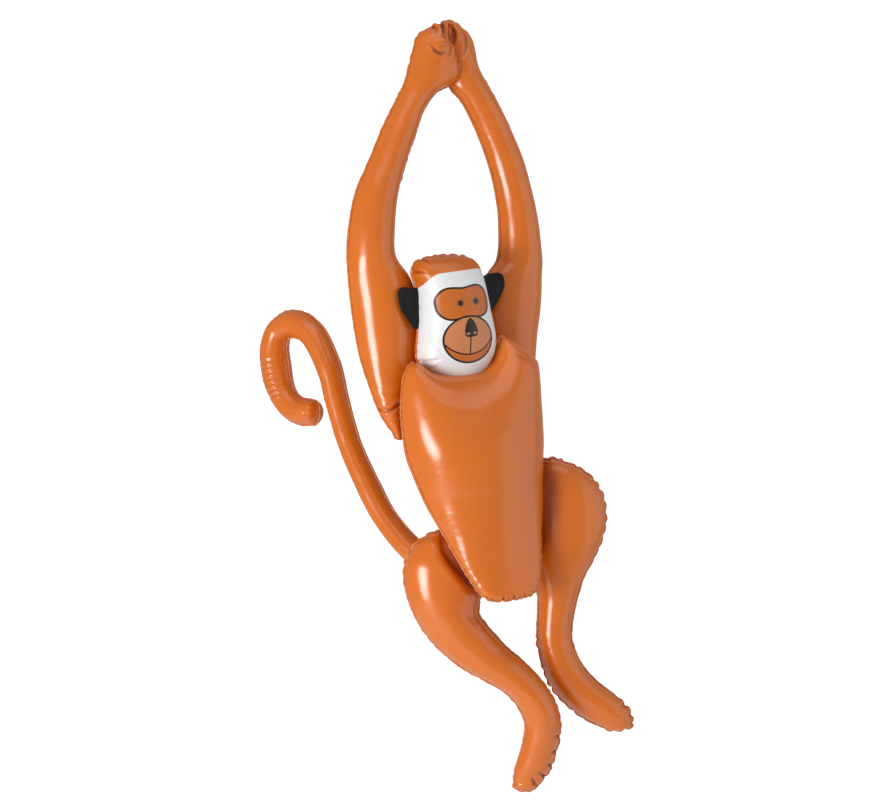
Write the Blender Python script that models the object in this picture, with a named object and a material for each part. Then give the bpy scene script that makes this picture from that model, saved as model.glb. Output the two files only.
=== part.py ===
"""Inflatable hanging monkey: welded vinyl chambers with both hands clasped into a hanging loop.

Metres, +Z up, the monkey faces -Y and +X is on the right of a viewer who faces it.
The origin is the hang point, under the clasped hands, where a branch or a hook bears.
The pose is drawn in millimetres on a monkey 900 mm from its hands to its lower foot.
"""

import math

import bmesh
import bpy
from mathutils import Matrix, Vector

# Driving sizes.
FIGURE_HEIGHT = 0.900
EAR_THICKNESS = 0.0024
VALVE_COLLAR_RADIUS = 0.013
VALVE_COLLAR_THICKNESS = 0.0016
VALVE_STEM_RADIUS = 0.0065
VALVE_STEM_LENGTH = 0.006
VALVE_PLUG_RADIUS = 0.0085
VALVE_PLUG_THICKNESS = 0.002
SEAT_CLEARANCE = 0.0003

# One drawn millimetre, and the greatest half-depths of the torso and the head in them.
DRAWN = FIGURE_HEIGHT / 900
TORSO_HALF_DEPTH = 55 * DRAWN
HEAD_HALF_DEPTH = 40 * DRAWN
HEAD_BACK_HALF_DEPTH = 34 * DRAWN

# Mesh fineness.
ARC_RINGS = 5
CAP_STEPS = 6
LIMB_SECTIONS = 20
TAIL_SECTIONS = 44
TAIL_BEVEL_RESOLUTION = 3

# Vinyl, print and valve colours, as linear RGB, with roughness.
ORANGE_VINYL = ((0.58, 0.14, 0.014), 0.22)
WHITE_PRINT = ((0.82, 0.82, 0.80), 0.25)
BLACK_VINYL = ((0.012, 0.011, 0.011), 0.35)
CLEAR_VALVE = ((0.72, 0.50, 0.34), 0.30)

# The seam plane of each leg faces 25 degrees to the monkey's right, the tail's plane 60 degrees.
LEG_TURN = math.radians(-25)
TAIL_TURN = math.radians(-60)
BODY_ROLL = math.radians(-6)
HEAD_ROLL = math.radians(-8.5)

# An arm, from the hand to the point where it ends on the torso's side.
# Each station is outer edge, inner edge, up, forward, half-thickness, out from the middle of the chest.
ARM_STATIONS = (
    (21, 1, 64, 0, 12),
    (40, 1, 45, 0, 18),
    (45, 1, 23, 0, 21),
    (54, 5, -1, 0, 21),
    (76, 29, -35, 0, 20.5),
    (101, 51, -90, 0, 22),
    (119, 65, -148, 0, 24.5),
    (126, 66, -198, -3, 27),
    (124, 53, -246, -7, 29),
    (118, 49, -290, -9, 29),
    (110, 62, -336, -3, 24),
    (101, 77, -378, 7, 14),
    (91, 85, -410, 14, 3),
)
ARM_HAND_CAP = 11
ARM_TIP_CAP = 3

# Below this height the chest leans over to the monkey's left, by a share of the way down.
LEAN_STARTS = -200
LEAN = 0.07

# The legs, from the hip to the toes, in their own planes.
# Each station is left edge across and up, right edge across and up, half-thickness.
RIGHT_LEG_STATIONS = (
    (-21, -525, -5, -525, 14),
    (-40, -537, 14, -542, 25),
    (-51, -563, 38, -579, 31),
    (-46, -598, 38, -605, 32),
    (-32, -628, 45, -624, 30),
    (-2, -663, 71, -653, 28),
    (48, -695, 107, -688, 26),
    (81, -724, 127, -720, 24),
    (87, -741, 131, -739, 23),
    (81, -779, 126, -779, 20.5),
    (76, -808, 108, -808, 13),
)
RIGHT_LEG_FORWARD = 42
RIGHT_LEG_HIP_CAP = 5
RIGHT_LEG_TOE_CAP = 12
LEFT_LEG_STATIONS = (
    (110, -441, 134, -439, 16),
    (90, -458, 165, -452, 25),
    (81, -490, 185, -483, 30),
    (84, -525, 186, -520, 31),
    (94, -557, 172, -554, 29),
    (105, -598, 154, -597, 24.5),
    (104, -633, 147, -633, 22),
    (108, -669, 154, -667, 22),
    (120, -703, 179, -698, 22.5),
    (151, -735, 210, -723, 20.5),
    (184, -753, 217, -744, 11),
)
LEFT_LEG_FORWARD = 2
LEFT_LEG_HIP_CAP = 5
LEFT_LEG_TOE_CAP = 8

# The torso, on its own axis, from the middle of its neckline round its left side to its foot.
# Each point is across, up.
TORSO_AT = (5, 45, -335)
TORSO_OUTLINE = (
    (0, -18),
    (24, -15),
    (40, -2),
    (47, 18),
    (54, 31),
    (66, 30),
    (79, 18),
    (87, 6),
    (88, -12),
    (88, -50),
    (86, -85),
    (79, -117),
    (69, -156),
    (60, -184),
    (50, -217),
    (42, -238),
    (35, -251),
    (25, -258),
    (12, -260),
    (0, -260),
)
# Along the torso's ridge: up, forward, share of the greatest half-depth.
TORSO_RIDGE = ((-58, -4, 0.95), (-91, -6, 1.0), (-150, 14, 0.88), (-200, 36, 0.68), (-226, 47, 0.56))
TORSO_EDGE_FORWARD = ((32, 0), (-62, -4), (-91, -6), (-150, 14), (-210, 40), (-268, 64))

# The head, on its own axis, from the middle of its crown round its left side to its chin.
HEAD_AT = (-6, 30, -276)
HEAD_OUTLINE = (
    (0, 78),
    (20, 77),
    (34, 72),
    (42, 62),
    (44, 48),
    (44, 30),
    (44, 5),
    (46, -20),
    (46, -42),
    (43, -58),
    (35, -70),
    (22, -77),
    (0, -79),
)
HEAD_RIDGE = ((34, 0, 1.0), (0, 0, 1.04), (-34, 0, 1.0))

# An ear, in the head's own frame, from the top of its root round its outer edge.
EAR_OUTLINE = ((30, 40), (46, 45), (56, 47), (65, 46), (69, 38), (67, 26), (61, 14), (54, 3), (47, -2), (30, 2))
EAR_BEHIND_SEAM = -1

# The tail, in its own plane from its root: back is negative. Each point is along, up, radius.
TAIL_AT = (32, 42, 0)
TAIL_PATH = (
    (-10, -579, 15),
    (-56, -573, 15),
    (-104, -542, 15),
    (-143, -508, 15),
    (-170, -474, 15.5),
    (-200, -422, 14.5),
    (-220, -367, 15),
    (-231, -331, 16),
    (-250, -295, 18),
    (-268, -279, 18),
    (-290, -274, 18),
    (-309, -283, 18),
    (-318, -303, 18),
    (-317, -324, 18),
    (-311, -346, 18),
    (-298, -366, 18),
    (-280, -380, 17),
    (-256, -383, 15.5),
)
TAIL_TIP_STEPS = 5

# Where the valve sits on the torso's back, on the torso's own axis.
VALVE_UP = -150


def clear_scene():
    """Removes every object of the startup scene."""
    for obj in list(bpy.data.objects):
        bpy.data.objects.remove(obj)


def new_collection(name):
    """A collection under the scene's own."""
    made = bpy.data.collections.new(name)
    bpy.context.scene.collection.children.link(made)
    return made


def vinyl(name, finish):
    """A Principled BSDF material of one colour."""
    colour, roughness = finish
    material = bpy.data.materials.new(name)
    material.use_nodes = True
    shader = material.node_tree.nodes["Principled BSDF"]
    shader.inputs["Base Color"].default_value = (*colour, 1)
    shader.inputs["Roughness"].default_value = roughness
    shader.inputs["Metallic"].default_value = 0
    return material


def smooth_through(points, count):
    """Points on a Catmull-Rom curve through the given ones, evenly spaced along it."""
    first = [2 * a - b for a, b in zip(points[0], points[1])]
    last = [2 * a - b for a, b in zip(points[-1], points[-2])]
    held = [first, *points, last]
    fine = []
    steps = 12
    for before, start, end, after in zip(held, held[1:], held[2:], held[3:]):
        for step in range(steps):
            t = step / steps
            fine.append(
                [
                    0.5 * (2 * b + (c - a) * t + (2 * a - 5 * b + 4 * c - d) * t**2 + (3 * b - a - 3 * c + d) * t**3)
                    for a, b, c, d in zip(before, start, end, after)
                ]
            )
    fine.append(list(points[-1]))
    return evenly(fine, count)


def evenly(points, count):
    """The same line with a given number of points at even distances."""
    lengths = [0.0]
    for a, b in zip(points, points[1:]):
        lengths.append(lengths[-1] + math.dist(a, b))
    made = []
    place = 0
    for index in range(count):
        wanted = lengths[-1] * index / (count - 1)
        while place < len(points) - 2 and lengths[place + 1] < wanted:
            place += 1
        gap = lengths[place + 1] - lengths[place]
        share = (wanted - lengths[place]) / gap if gap else 0
        made.append([a + (b - a) * share for a, b in zip(points[place], points[place + 1])])
    return made


def along(table, key):
    """The row of a table at a key, with its first column as the key, falling. Rows between are mixed."""
    if key >= table[0][0]:
        return table[0][1:]
    for above, below in zip(table, table[1:]):
        if key >= below[0]:
            share = (above[0] - key) / (above[0] - below[0])
            return tuple(a + (b - a) * share for a, b in zip(above[1:], below[1:]))
    return table[-1][1:]


def drawn(across, forward, up):
    """A drawn point in metres, in the piece's own frame."""
    return Vector((across, -forward, up)) * DRAWN


def inflated_mesh(name, rim, ridge, front, back):
    """Two panels welded along a rim and puffed out to a ridge.

    rim and ridge are closed loops of points that pair up, and front and back are the half-depths there.
    """
    mesh = bmesh.new()
    count = len(rim)
    panels = []
    seam = [mesh.verts.new(point) for point in rim]
    for side, depths in ((-1, front), (1, back)):
        rings = [seam]
        for ring in range(1, ARC_RINGS + 1):
            angle = math.pi / 2 * ring / ARC_RINGS
            rings.append(
                [
                    mesh.verts.new(
                        middle + (edge - middle) * math.cos(angle) + Vector((0, side * depth * math.sin(angle), 0))
                    )
                    for edge, middle, depth in zip(rim, ridge, depths)
                ]
            )
        panels.append(rings)
    for rings in panels:
        for outer, inner in zip(rings, rings[1:]):
            for index in range(count):
                following = (index + 1) % count
                mesh.faces.new((outer[index], outer[following], inner[following], inner[index]))
    bmesh.ops.remove_doubles(mesh, verts=mesh.verts, dist=0.02 * DRAWN)
    bmesh.ops.dissolve_degenerate(mesh, edges=mesh.edges, dist=0.01 * DRAWN)
    bmesh.ops.recalc_face_normals(mesh, faces=mesh.faces)
    made = bpy.data.meshes.new(name)
    mesh.to_mesh(made)
    mesh.free()
    return made


def limb_mesh(name, stations, start_cap, end_cap):
    """An inflated limb between its two edges, with a rounded cap at each end.

    Each station is left edge across and up, right edge across and up, forward, half-thickness.
    """
    sections = smooth_through(stations, LIMB_SECTIONS)
    lefts = [drawn(s[0], s[4], s[1]) for s in sections]
    rights = [drawn(s[2], s[4], s[3]) for s in sections]
    middles = [(a + b) / 2 for a, b in zip(lefts, rights)]
    depths = [s[5] * DRAWN for s in sections]
    foot = cap_rim(lefts[-1], rights[-1], middles[-1] - middles[-2], end_cap)
    top = cap_rim(rights[0], lefts[0], middles[0] - middles[1], start_cap)
    rim = [*lefts, *foot, *reversed(rights), *top]
    ridge = [*middles, *[middles[-1]] * len(foot), *reversed(middles), *[middles[0]] * len(top)]
    depth = [*depths, *[depths[-1]] * len(foot), *reversed(depths), *[depths[0]] * len(top)]
    return inflated_mesh(name, rim, ridge, depth, depth)


def cap_rim(start, end, ahead, length):
    """The rim round a limb's end: half an ellipse from one edge to the other."""
    middle = (start + end) / 2
    ahead = ahead.normalized() * length * DRAWN
    angles = [math.pi * step / CAP_STEPS for step in range(1, CAP_STEPS)]
    return [middle + (start - middle) * math.cos(angle) + ahead * math.sin(angle) for angle in angles]


def body_mesh(name, outline, ridge_table, edge_table, front_depth, back_depth, count):
    """An inflated body that is the same on both sides of its axis."""
    half = smooth_through(outline, count)
    loop = half + [(-x, z) for x, z in reversed(half[1:-1])]
    rim, ridge, front, back = [], [], [], []
    top, bottom = ridge_table[0][0], ridge_table[-1][0]
    for across, up in loop:
        level = min(max(up, bottom), top)
        forward, share = along(ridge_table, level)
        rim.append(drawn(across, along(edge_table, up)[0], up))
        ridge.append(drawn(0, forward, level))
        front.append(front_depth * share)
        back.append(back_depth * share)
    return inflated_mesh(name, rim, ridge, front, back)


def place(name, mesh, collection, material, at=(0, 0, 0), turn=(0, 0, 0)):
    """Links a new object in its place."""
    obj = bpy.data.objects.new(name, mesh)
    obj.location = drawn(*at)
    obj.rotation_euler = turn
    obj.data.materials.append(material)
    obj.data.shade_smooth()
    collection.objects.link(obj)
    return obj


def grown_copy(obj, cutters):
    """A cutter with the shape of a piece, larger all round by the seat's clearance."""
    cutter = bpy.data.objects.new(obj.name + "_seat", obj.data.copy())
    cutter.matrix_world = obj.matrix_world
    swell = cutter.modifiers.new("clearance", "DISPLACE")
    swell.strength = SEAT_CLEARANCE
    swell.mid_level = 0
    cutter.hide_render = True
    cutter.display_type = "WIRE"
    cutters.objects.link(cutter)
    return cutter


def seat_on(obj, *cutters):
    """Cuts a piece to the shape of what it is welded to."""
    for cutter in cutters:
        cut = obj.modifiers.new("seat", "BOOLEAN")
        cut.operation = "DIFFERENCE"
        cut.solver = "EXACT"
        cut.object = cutter


def cut_at_middle(mesh, side):
    """Cuts an arm flat where the two palms press together."""
    cut = bmesh.new()
    cut.from_mesh(mesh)
    found = bmesh.ops.bisect_plane(
        cut,
        geom=[*cut.verts, *cut.edges, *cut.faces],
        plane_co=(side * SEAT_CLEARANCE / 2, 0, 0),
        plane_no=(-side, 0, 0),
        clear_outer=True,
    )
    edges = [item for item in found["geom_cut"] if isinstance(item, bmesh.types.BMEdge)]
    bmesh.ops.holes_fill(cut, edges=edges, sides=0)
    bmesh.ops.recalc_face_normals(cut, faces=cut.faces)
    cut.to_mesh(mesh)
    cut.free()


def build_torso(collection, material):
    """The tapered body, curved forward at the hips."""
    mesh = body_mesh(
        "torso", TORSO_OUTLINE, TORSO_RIDGE, TORSO_EDGE_FORWARD, TORSO_HALF_DEPTH, TORSO_HALF_DEPTH, 34
    )
    return place("torso", mesh, collection, material, TORSO_AT, (0, BODY_ROLL, 0))


def build_head(collection, material):
    """The pillow-shaped head, which sinks into the torso's neckline."""
    flat = ((0, 0),)
    mesh = body_mesh("head", HEAD_OUTLINE, HEAD_RIDGE, flat, HEAD_HALF_DEPTH, HEAD_BACK_HALF_DEPTH, 24)
    return place("head", mesh, collection, material, HEAD_AT, (0, HEAD_ROLL, 0))


def build_ear(name, side, collection, material):
    """A flat ear flap, drawn as an outline and given its thickness."""
    curve = bpy.data.curves.new(name, "CURVE")
    curve.dimensions = "2D"
    curve.fill_mode = "BOTH"
    curve.extrude = EAR_THICKNESS / 2
    outline = smooth_through((*EAR_OUTLINE, EAR_OUTLINE[0]), 30)[:-1]
    spline = curve.splines.new("POLY")
    spline.points.add(len(outline) - 1)
    for point, (across, up) in zip(spline.points, outline):
        point.co = (side * across * DRAWN, up * DRAWN, 0, 1)
    spline.use_cyclic_u = True
    guide = bpy.data.objects.new(name + "_outline", curve)
    collection.objects.link(guide)
    graph = bpy.context.evaluated_depsgraph_get()
    mesh = bpy.data.meshes.new_from_object(guide.evaluated_get(graph))
    bpy.data.objects.remove(guide)
    welded = bmesh.new()
    welded.from_mesh(mesh)
    bmesh.ops.remove_doubles(welded, verts=welded.verts, dist=0.00001)
    bmesh.ops.recalc_face_normals(welded, faces=welded.faces)
    upright = Matrix.Rotation(math.radians(90), 4, "X")
    behind = Matrix.Translation((0, EAR_BEHIND_SEAM * DRAWN, 0))
    bmesh.ops.transform(welded, matrix=behind @ upright, verts=welded.verts)
    welded.to_mesh(mesh)
    welded.free()
    return place(name, mesh, collection, material, HEAD_AT, (0, HEAD_ROLL, 0))


def build_arm(name, side, collection, material):
    """One arm, from its hand at the loop's top to its end on the torso's side."""
    stations = []
    for outer, inner, up, forward, depth in ARM_STATIONS:
        lean = max(LEAN_STARTS - up, 0) * LEAN
        stations.append((side * outer + lean, up, side * inner + lean, up, forward, depth))
    mesh = limb_mesh(name, stations, ARM_HAND_CAP, ARM_TIP_CAP)
    cut_at_middle(mesh, side)
    return place(name, mesh, collection, material)


def build_leg(name, edges, forward, caps, collection, material):
    """One leg, from its hip to its toes, in a plane turned to the monkey's right."""
    stations = [(*row[:4], 0, row[4]) for row in edges]
    leg = place(name, limb_mesh(name, stations, *caps), collection, material, turn=(0, 0, LEG_TURN))
    leg.location = Matrix.Rotation(LEG_TURN, 3, "Z") @ drawn(0, forward, 0)
    return leg


def build_tail(collection, material):
    """The tail: one tube that climbs behind the monkey and curls over at its end."""
    path = smooth_through(TAIL_PATH, TAIL_SECTIONS)
    tip, before = path[-1], path[-2]
    heading = Vector((tip[0] - before[0], tip[1] - before[1])).normalized()
    for step in range(1, TAIL_TIP_STEPS + 1):
        angle = math.pi / 2 * step / TAIL_TIP_STEPS
        ahead = heading * tip[2] * math.sin(angle)
        path.append([tip[0] + ahead.x, tip[1] + ahead.y, max(tip[2] * math.cos(angle), 1.5)])
    curve = bpy.data.curves.new("tail", "CURVE")
    curve.dimensions = "3D"
    curve.bevel_depth = 1
    curve.bevel_resolution = TAIL_BEVEL_RESOLUTION
    curve.use_fill_caps = True
    curve.twist_mode = "MINIMUM"
    spline = curve.splines.new("POLY")
    spline.points.add(len(path) - 1)
    for point, (run, up, radius) in zip(spline.points, path):
        point.co = (*drawn(run, 0, up), 1)
        point.radius = radius * DRAWN
    guide = bpy.data.objects.new("tail_path", curve)
    collection.objects.link(guide)
    graph = bpy.context.evaluated_depsgraph_get()
    mesh = bpy.data.meshes.new_from_object(guide.evaluated_get(graph))
    bpy.data.objects.remove(guide)
    welded = bmesh.new()
    welded.from_mesh(mesh)
    bmesh.ops.remove_doubles(welded, verts=welded.verts, dist=0.00001)
    bmesh.ops.recalc_face_normals(welded, faces=welded.faces)
    welded.to_mesh(mesh)
    welded.free()
    mesh.materials.clear()
    return place("tail", mesh, collection, material, TAIL_AT, (0, 0, TAIL_TURN))


def build_valve(torso, collection, material):
    """The inflation valve, pressed in on the torso's back: a collar, a short stem and its plug."""
    forward, share = along(TORSO_RIDGE, VALVE_UP)
    surface = drawn(0, forward, VALVE_UP) + Vector((0, TORSO_HALF_DEPTH * share, 0))
    sunk = VALVE_COLLAR_RADIUS / 2
    collar_top = VALVE_COLLAR_THICKNESS
    stem_top = collar_top + VALVE_STEM_LENGTH
    plug_top = stem_top + VALVE_PLUG_THICKNESS
    profile = (
        (0, plug_top),
        (VALVE_PLUG_RADIUS, plug_top),
        (VALVE_PLUG_RADIUS, stem_top),
        (VALVE_STEM_RADIUS, stem_top),
        (VALVE_STEM_RADIUS, collar_top),
        (VALVE_COLLAR_RADIUS, collar_top),
        (VALVE_COLLAR_RADIUS, -sunk),
        (0, -sunk),
    )
    turned = bmesh.new()
    corners = [turned.verts.new((radius, 0, height)) for radius, height in profile]
    edges = [turned.edges.new(pair) for pair in zip(corners, corners[1:])]
    bmesh.ops.spin(
        turned,
        geom=[*corners, *edges],
        axis=(0, 0, 1),
        cent=(0, 0, 0),
        angle=math.tau,
        steps=24,
        use_merge=True,
    )
    bmesh.ops.remove_doubles(turned, verts=turned.verts, dist=0.00001)
    bmesh.ops.recalc_face_normals(turned, faces=turned.faces)
    mesh = bpy.data.meshes.new("valve")
    turned.to_mesh(mesh)
    turned.free()
    valve = place("valve", mesh, collection, material)
    outward = Matrix.Rotation(math.radians(-90), 4, "X")
    lean = Matrix.Rotation(VALVE_LEAN, 4, "X")
    valve.matrix_world = torso.matrix_world @ Matrix.Translation(surface) @ lean @ outward
    return valve


# The torso's back leans forward at the valve, so the valve points back and a little down.
VALVE_LEAN = math.atan2(TORSO_RIDGE[3][1] - TORSO_RIDGE[1][1], TORSO_RIDGE[1][0] - TORSO_RIDGE[3][0])


def main():
    """Builds the monkey."""
    clear_scene()
    monkey = new_collection("Inflatable hanging monkey")
    cutters = new_collection("Seats")
    orange = vinyl("orange vinyl", ORANGE_VINYL)
    white = vinyl("white printed vinyl", WHITE_PRINT)
    black = vinyl("black vinyl", BLACK_VINYL)
    clear = vinyl("valve", CLEAR_VALVE)

    torso = build_torso(monkey, orange)
    head = build_head(monkey, white)
    ears = [build_ear("ear_right", -1, monkey, black), build_ear("ear_left", 1, monkey, black)]
    arms = [build_arm("arm_right", -1, monkey, orange), build_arm("arm_left", 1, monkey, orange)]
    right_caps = (RIGHT_LEG_HIP_CAP, RIGHT_LEG_TOE_CAP)
    left_caps = (LEFT_LEG_HIP_CAP, LEFT_LEG_TOE_CAP)
    right_leg = build_leg("leg_right", RIGHT_LEG_STATIONS, RIGHT_LEG_FORWARD, right_caps, monkey, orange)
    left_leg = build_leg("leg_left", LEFT_LEG_STATIONS, LEFT_LEG_FORWARD, left_caps, monkey, orange)
    tail = build_tail(monkey, orange)
    bpy.context.view_layer.update()
    valve = build_valve(torso, monkey, clear)
    bpy.context.view_layer.update()

    torso_seat = grown_copy(torso, cutters)
    head_seat = grown_copy(head, cutters)
    seat_on(head, torso_seat)
    for ear in ears:
        seat_on(ear, head_seat)
    for arm in arms:
        seat_on(arm, torso_seat, head_seat)
    for leg in (right_leg, left_leg):
        seat_on(leg, torso_seat)
    seat_on(tail, torso_seat, grown_copy(right_leg, cutters))
    seat_on(valve, torso_seat)


main()
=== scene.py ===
"""Inflatable hanging monkey, dressed: glossy orange film with puckered welds, a printed face and black ears.

Sizes are in millimetres until a mesh is made. Every chamber is drawn in its own weld plane: across, up,
and forward out of the plane. The origin is the hang point under the clasped hands, +Z is up and the
monkey faces -Y.
"""

from __future__ import annotations

import logging
import math
from dataclasses import dataclass, field
from enum import Enum

import bmesh
import bpy
import numpy as np
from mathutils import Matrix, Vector


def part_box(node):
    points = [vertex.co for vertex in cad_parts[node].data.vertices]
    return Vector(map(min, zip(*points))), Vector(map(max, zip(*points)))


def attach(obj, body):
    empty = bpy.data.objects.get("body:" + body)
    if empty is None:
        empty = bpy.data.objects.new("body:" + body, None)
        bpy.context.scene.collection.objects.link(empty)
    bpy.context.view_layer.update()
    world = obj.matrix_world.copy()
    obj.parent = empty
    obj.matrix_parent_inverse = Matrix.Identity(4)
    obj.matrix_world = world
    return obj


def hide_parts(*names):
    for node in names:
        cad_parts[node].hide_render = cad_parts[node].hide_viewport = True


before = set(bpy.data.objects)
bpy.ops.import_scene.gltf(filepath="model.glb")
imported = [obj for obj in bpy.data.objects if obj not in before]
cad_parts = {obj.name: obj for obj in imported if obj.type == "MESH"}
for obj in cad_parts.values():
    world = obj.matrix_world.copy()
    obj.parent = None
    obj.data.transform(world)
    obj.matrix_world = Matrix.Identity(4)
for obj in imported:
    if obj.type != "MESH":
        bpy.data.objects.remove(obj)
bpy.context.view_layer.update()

LOG = logging.getLogger("hanging_monkey")

MM = 0.001
RIM_STEP = 1.0
RINGS = 24
WHITE = (1.0, 1.0, 1.0, 1.0)

Pair = tuple[float, float]
Triple = tuple[float, float, float]
Colour = tuple[float, float, float]


class Film(Enum):
    """The two films of a chamber, by the side they face."""

    FRONT = -1
    BACK = 1


def smooth_rows(rows: np.ndarray, steps: int, closed: bool = False) -> np.ndarray:
    """Points on a Catmull-Rom curve through rows of numbers.

    Args:
        rows: The rows that the curve goes through.
        steps: How many points to make from each row to the next.
        closed: Whether the curve runs back to its first row.

    Returns:
        The finer rows, with the last one only on an open curve.
    """
    rows = np.asarray(rows, float)
    if closed:
        held = np.vstack((rows[-1:], rows, rows[:2]))
    else:
        held = np.vstack((2 * rows[:1] - rows[1:2], rows, 2 * rows[-1:] - rows[-2:-1]))
    t = (np.arange(steps) / steps)[:, None]
    parts = []
    for a, b, c, d in zip(held, held[1:], held[2:], held[3:]):
        cubic = 2 * b + (c - a) * t + (2 * a - 5 * b + 4 * c - d) * t**2 + (3 * b - a - 3 * c + d) * t**3
        parts.append(cubic / 2)
    fine = np.vstack(parts)
    return fine if closed else np.vstack((fine, rows[-1:]))


def even_rows(rows: np.ndarray, step: float, by: int, closed: bool = False) -> np.ndarray:
    """The same curve with its points at even distances.

    Args:
        rows: The points, close together.
        step: The distance wanted between points.
        by: How many leading columns the distance is measured in.
        closed: Whether the curve runs back to its first point.

    Returns:
        The evenly spaced points.
    """
    if closed:
        rows = np.vstack((rows, rows[:1]))
    gaps = np.linalg.norm(np.diff(rows[:, :by], axis=0), axis=1)
    lengths = np.concatenate(([0.0], np.cumsum(gaps)))
    count = max(int(round(lengths[-1] / step)), 8)
    wanted = np.linspace(0, lengths[-1], count + 1)
    made = np.stack([np.interp(wanted, lengths, rows[:, k]) for k in range(rows.shape[1])], axis=1)
    return made[:-1] if closed else made


def soften_loop(values: np.ndarray, reach: int) -> np.ndarray:
    """Values round a loop, averaged with their neighbours twice.

    Args:
        values: One row or number for each point of the loop.
        reach: How many neighbours on each side count.

    Returns:
        The softened values.
    """
    kernel = np.hanning(2 * reach + 3)[1:-1]
    kernel /= kernel.sum()
    made = np.zeros_like(values, dtype=float)
    for shift, weight in zip(range(-reach, reach + 1), kernel):
        made += np.roll(values, shift, axis=0) * weight
    return made


def smooth_lookup(table: tuple[tuple[float, ...], ...], keys: np.ndarray) -> np.ndarray:
    """The rows of a table at the given keys, on a smooth curve between them.

    Args:
        table: Rows whose first number is the key, rising or falling.
        keys: The keys that are wanted.

    Returns:
        One row for each key, without the key.
    """
    fine = smooth_rows(np.array(table, float), 24)
    fine = fine[np.argsort(fine[:, 0])]
    return np.stack([np.interp(keys, fine[:, 0], fine[:, k]) for k in range(1, fine.shape[1])], axis=-1)


def enclosed(rim: np.ndarray) -> float:
    """Twice the area inside a loop, positive where it runs anticlockwise."""
    ends = np.roll(rim, -1, axis=0)
    return float(np.sum(rim[:, 0] * ends[:, 1] - ends[:, 0] * rim[:, 1]))


def strip(near: np.ndarray, far: np.ndarray, winding: int) -> np.ndarray:
    """The quads between two loops of points.

    Args:
        near: The first loop's point numbers.
        far: The second loop's.
        winding: 1 or -1, for the side that the quads face.

    Returns:
        One row of four point numbers for each quad.
    """
    quads = np.stack((near, np.roll(near, -1), np.roll(far, -1), far), axis=1)
    return quads if winding > 0 else quads[:, ::-1]


def store(obj: bpy.types.Object, name: str, values: np.ndarray) -> None:
    """Keeps a number or a vector on every point of a mesh.

    Args:
        obj: The mesh's object.
        name: The attribute's name.
        values: One number or one row of three for each point.
    """
    if values.ndim == 1:
        kept = obj.data.attributes.new(name, "FLOAT", "POINT")
        kept.data.foreach_set("value", values.astype(np.float32))
    else:
        kept = obj.data.attributes.new(name, "FLOAT_VECTOR", "POINT")
        kept.data.foreach_set("vector", values.astype(np.float32).ravel())


@dataclass(frozen=True)
class WeldPlane:
    """The plane that a chamber's weld lies in.

    Args:
        origin: Across, forward and up of the plane's zero, in the row frame.
        turn: Degrees about the vertical, positive towards the monkey's left front.
        roll: Degrees that the chamber's own axis leans in the plane.
        ahead: How far the plane stands forward along its own normal.
    """

    origin: Triple = (0.0, 0.0, 0.0)
    turn: float = 0.0
    roll: float = 0.0
    ahead: float = 0.0

    def matrix(self) -> np.ndarray:
        """The rotation from the plane to the row frame.

        Returns:
            Three rows of three.
        """
        turn, roll = math.radians(self.turn), math.radians(self.roll)
        about_up = np.array(
            ((math.cos(turn), -math.sin(turn), 0), (math.sin(turn), math.cos(turn), 0), (0, 0, 1))
        )
        in_plane = np.array(
            ((math.cos(roll), 0, math.sin(roll)), (0, 1, 0), (-math.sin(roll), 0, math.cos(roll)))
        )
        return about_up @ in_plane

    def place(self, points: np.ndarray) -> np.ndarray:
        """Points of the plane in the row frame.

        Args:
            points: Across, forward and up, in millimetres.

        Returns:
            The same points as row-frame millimetres, x, y and z.
        """
        local = np.stack((points[..., 0], -(points[..., 1] + self.ahead), points[..., 2]), axis=-1)
        across, forward, up = self.origin
        return local @ self.matrix().T + np.array((across, -forward, up))


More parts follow.
